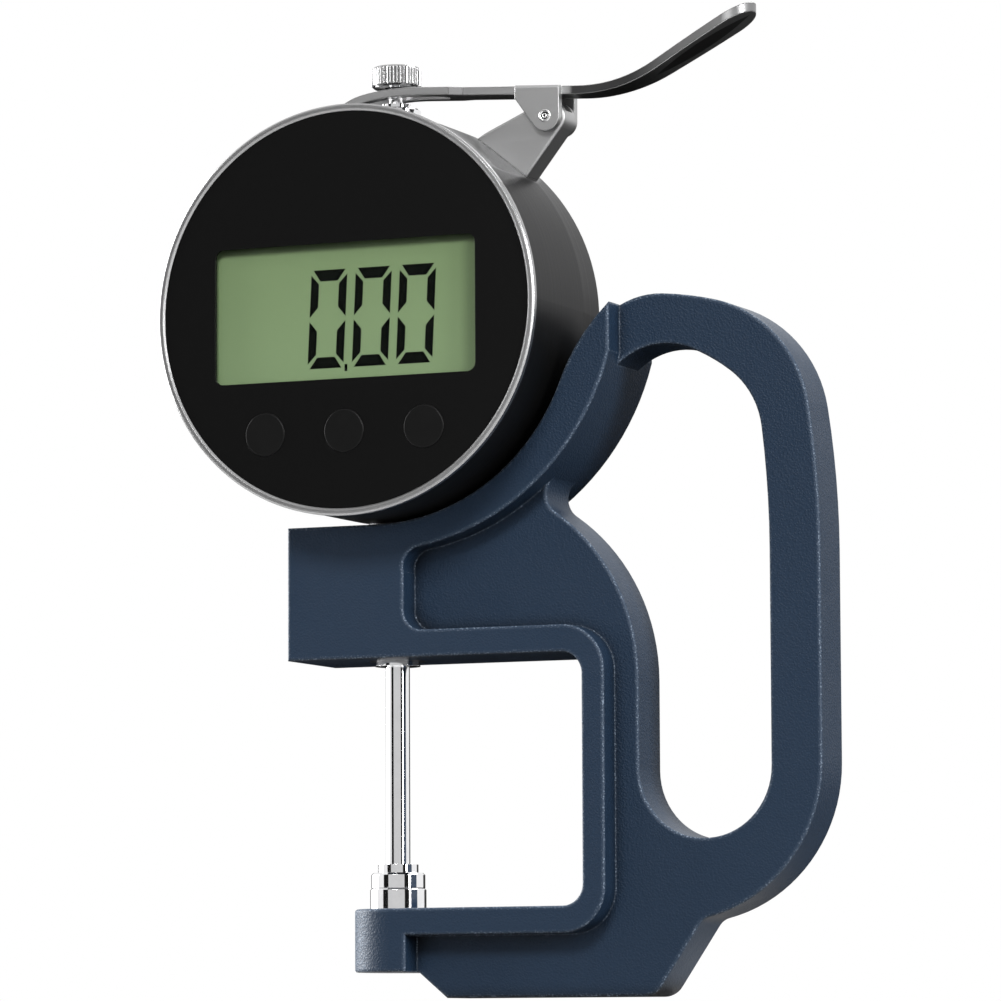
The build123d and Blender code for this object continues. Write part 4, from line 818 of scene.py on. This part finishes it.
class Finishes:
    """All the finishes of the gauge, made once."""

    def __init__(self) -> None:
        """Build the materials by slot, and those of the pieces with a look of their own."""
        effects = Effects()
        kinds = {
            Slot.CASTING: PowderCoat("navy_powder_coat", from_srgb(34, 52, 73), 0.42),
            Slot.CASE: MilledCase("case_satin_grey", (0.05, 0.05, 0.051), 0.36),
            Slot.RING: TurnedMetal("ring_turned_silver", (0.39, 0.39, 0.392), 0.3),
            Slot.PANEL: PanelGloss("panel_gloss_black", from_srgb(22, 22, 22), 0.22),
            Slot.LENS: ClearPane("lens_clear_pane", WHITE, 0.02),
            Slot.LCD: CrystalGreen("display_grey_green", from_srgb(131, 155, 113), 0.5),
            Slot.PLASTIC: Moulded("moulded_black", from_srgb(30, 30, 31), 0.5),
            Slot.KEY: Moulded("key_black", from_srgb(22, 22, 22), 0.32, texture=7000.0, relief=0.000003,
                              specular=0.1),
            Slot.STRIP: Finish("connector_rubber", from_srgb(190, 170, 176), 0.7),
            Slot.BOARD: Finish("board_solder_mask", from_srgb(22, 84, 52), 0.4),
            Slot.POLISHED: PlainMetal("steel_polished", (0.86, 0.86, 0.87), 0.045),
            Slot.PRESSED: DrawnMetal("steel_pressed", (0.45, 0.45, 0.452), 0.36, rounding=0.0002),
            Slot.SCREW: PlainMetal("screw_satin", (0.5, 0.5, 0.51), 0.28),
            Slot.BLACK_STEEL: PlainMetal("steel_blackened", (0.045, 0.045, 0.05), 0.35),
            Slot.BRASS: PlainMetal("contact_brass", (0.72, 0.56, 0.28), 0.25),
            Slot.CELL: PlainMetal("cell_bright", (0.72, 0.72, 0.73), 0.16),
            Slot.SCALE: ClearPane("scale_glass", (0.85, 0.92, 0.9), 0.05),
        }
        self.made = {slot: kind.material(effects) for slot, kind in kinds.items()}
        self.ink = Moulded("display_ink", (0.003, 0.004, 0.003), 0.6, specular=0.0).material(effects)
        # The knob's flutes and its side towards -X take painted shade.
        knob = BandedMetal("knob_fluted", (0.72, 0.72, 0.725), 0.12, centre=tuple(DIAL), soft=0.05 * MM,
                           bands=((3.22 * MM, 3.42 * MM),), painted_dim=(0.32, 0.32, 0.32), flank_shade=0.8)
        self.knob = knob.material(effects)
        # The pin's groove and dimple take painted shade.
        pin = BandedMetal("pin_rolled", (0.9, 0.9, 0.905), 0.12, centre=tuple(PIVOT), across=(1.0, 0.0, 1.0),
                          bands=((-0.1 * MM, 0.17 * MM), (0.36 * MM, 0.54 * MM)))
        self.pin = pin.material(effects)

    def dress(self, target: bpy.types.Object, slot: Slot) -> None:
        """Give every material slot of an object the finish of one of the record's slots."""
        self.put(target, self.made[slot])

    @staticmethod
    def put(target: bpy.types.Object, material: bpy.types.Material) -> None:
        """Give every material slot of an object one material.

        Args:
            target: The object.
            material: The material.
        """
        if not target.material_slots:
            target.data.materials.append(material)
        for place in target.material_slots:
            place.material = material


def linked(name: str, data: bpy.types.ID) -> bpy.types.Object:
    """Make an object and put it into the scene.

    Args:
        name: The object's name.
        data: Its mesh, lamp or camera.

    Returns:
        The object.
    """
    thing = bpy.data.objects.new(name, data)
    bpy.context.scene.collection.objects.link(thing)
    return thing


def shell(name: str, *stacks: list[list[Vector]]) -> bpy.types.Object:
    """Close stacks of rings into one piece, the first and the last ring of a stack being its ends.

    Args:
        name: The piece's name.
        stacks: Each stack's rings, of equal length and with their points in the same order.

    Returns:
        The piece, placed in the scene.
    """
    mesh = bmesh.new()
    for layers in stacks:
        rings = [[mesh.verts.new(point) for point in ring] for ring in layers]
        count = len(rings[0])
        for lower, upper in zip(rings, rings[1:]):
            for index in range(count):
                following = (index + 1) % count
                mesh.faces.new((lower[index], lower[following], upper[following], upper[index]))
        for ring in (rings[0], rings[-1]):
            mesh.faces.new(ring)
    bmesh.ops.recalc_face_normals(mesh, faces=mesh.faces)
    data = bpy.data.meshes.new(name)
    mesh.to_mesh(data)
    mesh.free()
    LOG.info("piece %s", name)
    return linked(name, data)


@dataclass
class Carried:
    """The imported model's own nodes, dressed by their recorded slots."""

    frame: dict
    finishes: Finishes
    looks: dict[str, Slot] = field(default_factory=lambda: {"lower_bush": Slot.POLISHED, "stem": Slot.CASE})

    def dress(self) -> None:
        """Give each node the finish of its slot, or of the slot that its look needs."""
        for part in self.frame["record"]["subparts"]:
            node = self.frame["nodes"][part["node"]]
            slot = self.looks.get(part["node"], Slot(part["material_slot"]))
            self.finishes.dress(node, slot)
            LOG.info("node %s takes %s", part["node"], slot.value)


@dataclass
class Reading:
    """The seven-segment reading on the display, with its sizes in millimetres."""

    finishes: Finishes
    centres: tuple[float, ...] = (-3.05, 3.68, 10.35)
    middle: float = -1.09
    slant: float = 0.048
    thickness: float = 0.02
    top: tuple[Pair, ...] = ((-2.42, 6.83), (2.42, 6.83), (1.32, 5.28), (-1.32, 5.28))
    side: tuple[Pair, ...] = ((-2.72, 6.14), (-1.52, 4.88), (-1.52, 1.66), (-2.72, 0.29))
    point: Span = (-0.46, -0.05, -8.44, -7.48)

    def outlines(self) -> list[list[Pair]]:
        """List the lit segments.

        Returns:
            Each segment's corners, from the dial's centre.
        """
        shapes = []
        for centre in self.centres:
            for flip in (1, -1):
                shapes.append([(centre + x, z * flip) for x, z in self.top])
                for mirror in (1, -1):
                    shapes.append([(centre + x * mirror, z * flip) for x, z in self.side])
        slanted = [[(x + z * self.slant, z + self.middle) for x, z in shape] for shape in shapes]
        left, right, low, high = self.point
        return slanted + [[(left, low), (right, low), (right, high), (left, high)]]

    def build(self) -> bpy.types.Object:
        """Make the segments as thin plates on the cell's face.

        Returns:
            The segments' object.
        """
        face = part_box("display_cell")[0].y
        depths = (face, face - self.thickness * MM)
        plates = [[[Vector((DIAL.x + x * MM, depth, DIAL.z + z * MM)) for x, z in outline]
                   for depth in depths] for outline in self.outlines()]
        reading = shell("display_reading", *plates)
        self.finishes.put(reading, self.finishes.ink)
        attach(reading, "gauge_body")
        return reading


@dataclass
class FlutedKnob:
    """The knob on the rod's top, with its fine straight flutes."""

    finishes: Finishes
    flutes: int = 44
    flute: tuple[Pair, ...] = ((0.0, 0.0), (0.3, 0.0), (0.65, 0.2 * MM))
    chamfer: float = 0.35 * MM
    bore: float = 1.69 * MM
    seat: float = 0.7

    def build(self) -> bpy.types.Object:
        """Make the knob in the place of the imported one.

        Returns:
            The knob's object.
        """
        low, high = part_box("lifting_knob")
        middle = Vector(((low.x + high.x) / 2, (low.y + high.y) / 2, 0.0))
        full = (high.x - low.x) / 2
        end = full - self.chamfer
        outline = [(math.tau * (index + share) / self.flutes, full - depth)
                   for index in range(self.flutes) for share, depth in self.flute]

        def ring(height: float, radius: float | None = None, slope: int = 0) -> list[Vector]:
            """Lay one point at each angle.

            Args:
                height: The ring's height.
                radius: Its radius, or None for the flutes' own.
                slope: Which way the chamfer climbs from there, 0 for level.

            Returns:
                The ring's points.
            """
            spots = [(angle, radius or fluted) for angle, fluted in outline]
            return [middle + Vector((math.cos(a) * r, math.sin(a) * r, height + slope * (r - end)))
                    for a, r in spots]

        bottom = low.z + (high.z - low.z) * self.seat
        knob = shell("fluted_knob", [ring(bottom, self.bore), ring(low.z, self.bore), ring(low.z, end),
                                     ring(low.z, slope=1), ring(high.z, slope=-1), ring(high.z, end)])
        self.finishes.put(knob, self.finishes.knob)
        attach(knob, "spindle")
        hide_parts("lifting_knob")
        return knob


@dataclass
class RolledPin:
    """The lever's pivot pin with the groove and the dimple in its rolled heads."""

    finishes: Finishes
    shaft: float = 0.7 * MM
    thickness: float = 0.15 * MM
    facets: int = 48
    head: tuple[Pair, ...] = (
        (0.1, 0.3), (0.17, 0.1), (0.2, 0.04), (0.27, 0.01), (0.33, 0.04), (0.36, 0.1), (0.4, 0.14),
        (0.5, 0.14), (0.53, 0.1), (0.58, 0.035), (0.66, 0.005), (0.74, 0.0), (0.82, 0.015), (0.88, 0.06),
        (0.9, 0.11))

    def build(self) -> bpy.types.Object:
        """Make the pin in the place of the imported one.

        Returns:
            The pin's object.
        """
        low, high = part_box("pivot_pin")
        middle = (low + high) / 2
        back = low.y + self.thickness
        profile = [(radius * MM, low.y + depth * MM) for radius, depth in self.head]
        profile += [(profile[-1][0], back), (self.shaft, back)]
        profile += [(radius, 2 * middle.y - depth) for radius, depth in reversed(profile)]
        layers = [[Vector((middle.x + math.cos(a) * radius, depth, middle.z + math.sin(a) * radius))
                   for a in turns(self.facets)] for radius, depth in profile]
        pin = shell("rolled_pin", layers)
        self.finishes.put(pin, self.finishes.pin)
        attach(pin, "lever")
        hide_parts("pivot_pin")
        return pin


@dataclass
class WoundSpring:
    """The coil spring round the lever's pin: it winds up between a leg on the lever and one on the case."""

    finishes: Finishes
    coil: float = 1.1 * MM
    wire: float = 0.15 * MM
    pitch: float = 0.4 * MM
    rounds: float = 4 + 38.5 / 360
    legs: Pair = (2.5 * MM, 4.0 * MM)
    steps: int = 110
    facets: int = 12

    def stations(self) -> list[tuple[Vector, Vector, Vector]]:
        """Walk along the wire from the lever's leg to the case's leg.

        Returns:
            The wire's centre, its way outwards from the coil and its heading, station by station.
        """
        around = []
        rise = self.pitch / (math.tau * self.coil)
        for step in range(self.steps + 1):
            turn = math.tau * self.rounds * step / self.steps
            outward = Vector((math.cos(turn), 0.0, -math.sin(turn)))
            lift = (turn / math.tau - self.rounds / 2) * self.pitch
            heading = Vector((-math.sin(turn), rise, -math.cos(turn))).normalized()
            around.append((PIVOT + outward * self.coil + Vector((0.0, lift, 0.0)), outward, heading))
        first, last = around[0], around[-1]
        upper = (first[0] - first[2] * self.legs[0], first[1], first[2])
        lower = (last[0] + last[2] * self.legs[1], last[1], last[2])
        return [upper, *around, lower]

    def build(self) -> bpy.types.Object:
        """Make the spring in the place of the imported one.

        Returns:
            The spring's object.
        """
        layers = []
        for centre, outward, heading in self.stations():
            side = heading.cross(outward)
            layers.append([centre + (outward * math.cos(a) + side * math.sin(a)) * self.wire
                           for a in turns(self.facets)])
        spring = shell("wound_spring", layers)
        for face in spring.data.polygons:
            face.use_smooth = len(face.vertices) == 4
        self.finishes.dress(spring, Slot.PRESSED)
        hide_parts("lever_spring")
        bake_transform(spring)
        return spring


@dataclass
class Studio:
    """The floor, the lamps, the cards that show in the metal, and the white surround."""

    floor_half: float = 3.0
    floor_colour: Colour = (0.82, 0.82, 0.82)
    floor_bounce: Colour = (0.05, 0.05, 0.05)
    floor_roughness: float = 0.7
    floor_clear: Pair = (0.25, 0.7)
    surround: float = 0.14
    aim: float = 0.065
    mat_height: float = 0.001

    def build(self) -> None:
        """Build the whole studio."""
        self.world()
        self.floor()
        self.lamp("top_front", azimuth=8, height=33, distance=0.9, size=(0.3, 0.22), share=0.58)
        self.lamp("right_strip", azimuth=74, height=16, distance=0.8, size=(0.14, 0.5), share=0.68)
        self.lamp("left_box", azimuth=-93, height=14, distance=0.8, size=(0.6, 0.5), share=1.6)
        self.lamp("back_rim", azimuth=170, height=52, distance=0.9, size=(0.5, 0.25), share=0.45)
        self.card("left_flag", azimuth=-31.0, width=0.272, distance=0.7, tone=0.01)
        self.card("front_grey", azimuth=12, width=1.5, distance=0.95, tone=0.68)
        self.card("right_flag", azimuth=59, width=0.234, distance=0.7, tone=0.01)
        self.card("back_flag", azimuth=197, width=1.17, distance=0.9, tone=0.05, reach=(-0.6, 0.25))
        self.mat("dark_mat", low=(-1.4, 0.03), high=(0.04, 1.8), tone=0.01)
        self.mat("grey_mat", low=(0.04, 0.03), high=(0.8, 1.8), tone=0.2)

    @staticmethod
    def direction(azimuth: float, height: float) -> Vector:
        """Give the way from the gauge to a place round it, azimuth 0 being in front of the dial."""
        turn, rise = math.radians(azimuth), math.radians(height)
        return Vector((math.sin(turn) * math.cos(rise), -math.cos(turn) * math.cos(rise), math.sin(rise)))

    @staticmethod
    def plate(name: str, finish: str, spots: list[Vector]) -> tuple[bpy.types.Object, Graph]:
        """Make a flat four-cornered plate with a material of its own, which isn't part of the gauge.

        Args:
            name: The plate's name.
            finish: Its material's name.
            spots: Its four corners.

        Returns:
            The plate and its material's empty graph.
        """
        data = bpy.data.meshes.new(name)
        data.from_pydata([tuple(spot) for spot in spots], [], [(0, 1, 2, 3)])
        material = bpy.data.materials.new(finish)
        data.materials.append(material)
        plate = linked(name, data)
        return plate, cleared(material)

    def world(self) -> None:
        """White for what the camera, glass and metal see, and a plain level for the rest."""
        world = bpy.data.worlds.new("white_surround")
        bpy.context.scene.world = world
        graph = cleared(world)
        path = graph.add("LightPath").outputs
        seen = graph.math("MAXIMUM", path["Is Camera Ray"],
                          graph.math("MAXIMUM", path["Is Glossy Ray"], path["Is Transmission Ray"]))
        level = graph.span(seen, 0.0, 1.0, self.surround, 1.0)
        back = graph.add("Background", {"Color": WHITE, "Strength": level})
        graph.add("OutputWorld", {"Surface": back.outputs[0]})

    def floor(self) -> None:
        """A plain pale floor that fades out far away, and is clear from below for the low camera."""
        half = self.floor_half
        plan = ((-half, -half), (half, -half), (half, half), (-half, half))
        graph = self.plate("floor", "pale_floor", [Vector((x, y, 0.0)) for x, y in plan])[1]
        path = graph.add("LightPath").outputs
        tone = graph.blend(path["Is Diffuse Ray"], self.floor_colour, self.floor_bounce)
        shade = graph.add("BsdfPrincipled", {"Base Color": tone, "Roughness": self.floor_roughness})
        clear = graph.add("BsdfTransparent")
        under = graph.add("NewGeometry").outputs["Backfacing"]
        fade = graph.span(graph.vector("LENGTH", graph.place()), *self.floor_clear)
        unseen = graph.math("MAXIMUM", under, graph.math("MULTIPLY", fade, path["Is Camera Ray"]))
        mix = graph.add("MixShader", {0: unseen, 1: shade.outputs[0], 2: clear.outputs[0]})
        graph.add("OutputMaterial", {"Surface": mix.outputs[0]})

    def lamp(self, name: str, azimuth: float, height: float, distance: float, size: Pair,
             share: float) -> None:
        """Hang a soft rectangular lamp that faces the gauge.

        Args:
            name: The lamp's name.
            azimuth: Degrees round from the front of the dial towards the handle.
            height: Degrees above the horizon.
            distance: Metres from the gauge.
            size: Its width and height.
            share: How bright a white surface that faces it becomes, as a share of white.
        """
        data = bpy.data.lights.new(name, "AREA")
        data.shape = "RECTANGLE"
        data.size, data.size_y = size
        data.energy = share * math.pi ** 2 * distance ** 2
        lamp = linked(name, data)
        way = self.direction(azimuth, height)
        lamp.location = UPRIGHT * self.aim + way * distance
        lamp.rotation_mode = "QUATERNION"
        lamp.rotation_quaternion = (-way).to_track_quat("-Z", "Y")

    def card(self, name: str, azimuth: float, width: float, distance: float, tone: float,
             reach: Pair = (-0.635, 0.765)) -> None:
        """Stand a plain card round the gauge.

        Args:
            name: The card's name.
            azimuth: Degrees round from the front of the dial towards the handle.
            width: Its width.
            distance: Metres from the gauge.
            tone: How bright it is.
            reach: How low and how high it reaches.
        """
        way = self.direction(azimuth, 0.0)
        side = UPRIGHT.cross(way).normalized() * (width / 2)
        low, high = (way * distance + UPRIGHT * level for level in reach)
        self.reflected(name, [low - side, low + side, high + side, high - side], tone)

    def mat(self, name: str, low: Pair, high: Pair, tone: float) -> None:
        """Lay a plain card between two corners on the floor, where the undersides mirror it."""
        plan = ((low[0], low[1]), (high[0], low[1]), (high[0], high[1]), (low[0], high[1]))
        self.reflected(name, [Vector((x, y, self.mat_height)) for x, y in plan], tone)

    def reflected(self, name: str, spots: list[Vector], tone: float) -> None:
        """Make a flat card that shows only in what is glossy.

        Args:
            name: The card's name.
            spots: Its four corners.
            tone: How bright it is.
        """
        card, graph = self.plate(name, name, spots)
        glow = graph.add("Emission", {"Color": WHITE, "Strength": tone})
        graph.add("OutputMaterial", {"Surface": glow.outputs[0]})
        card.visible_camera = False
        card.visible_diffuse = False
        card.visible_shadow = False
        card.visible_transmission = False


@dataclass
class Viewpoint:
    """The camera at the photograph's viewing angle."""

    azimuth: float = 23.6
    pitch: float = 5.75
    roll: float = -0.25
    distance: float = 0.741
    focal_pixels: float = 5400.0
    picture: float = 1001.0
    sensor: float = 36.0
    clip: Pair = (0.01, 20.0)
    ring_at: Pair = (343.0, 308.6)
    ring_face: Vector = DIAL + Vector((0.0, -17.72 * MM, 0.0))

    def build(self) -> bpy.types.Object:
        """Place the camera so that the ring's centre falls where the photograph has it.

        Returns:
            The camera.
        """
        turn, rise, roll = (math.radians(a) for a in (self.azimuth, self.pitch, self.roll))
        level = Vector((math.cos(turn), math.sin(turn), 0.0))
        ahead = Vector((-math.sin(turn), math.cos(turn), 0.0))
        forward = ahead * math.cos(rise) + UPRIGHT * math.sin(rise)
        above = UPRIGHT * math.cos(rise) - ahead * math.sin(rise)
        right = level * math.cos(roll) + above * math.sin(roll)
        up = above * math.cos(roll) - level * math.sin(roll)
        middle = self.picture / 2
        across = (self.ring_at[0] - middle) / self.focal_pixels
        down = (middle - self.ring_at[1]) / self.focal_pixels
        place = self.ring_face - (right * across + up * down + forward) * self.distance
        data = bpy.data.cameras.new("camera")
        data.sensor_width = self.sensor
        data.lens = self.sensor * self.focal_pixels / self.picture
        data.clip_start, data.clip_end = self.clip
        camera = linked("camera", data)
        turned = Matrix((right, up, -forward)).transposed().to_4x4()
        camera.matrix_world = Matrix.Translation(place) @ turned
        bpy.context.scene.camera = camera
        return camera


def main() -> None:
    """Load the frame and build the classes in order."""
    logging.basicConfig(level=logging.INFO, format="%(message)s")
    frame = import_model()
    bpy.context.scene.view_settings.view_transform = "Standard"
    Viewpoint().build()
    finishes = Finishes()
    Carried(frame, finishes).dress()
    Reading(finishes).build()
    FlutedKnob(finishes).build()
    RolledPin(finishes).build()
    WoundSpring(finishes).build()
    Studio().build()


if __name__ == "__main__":
    main()
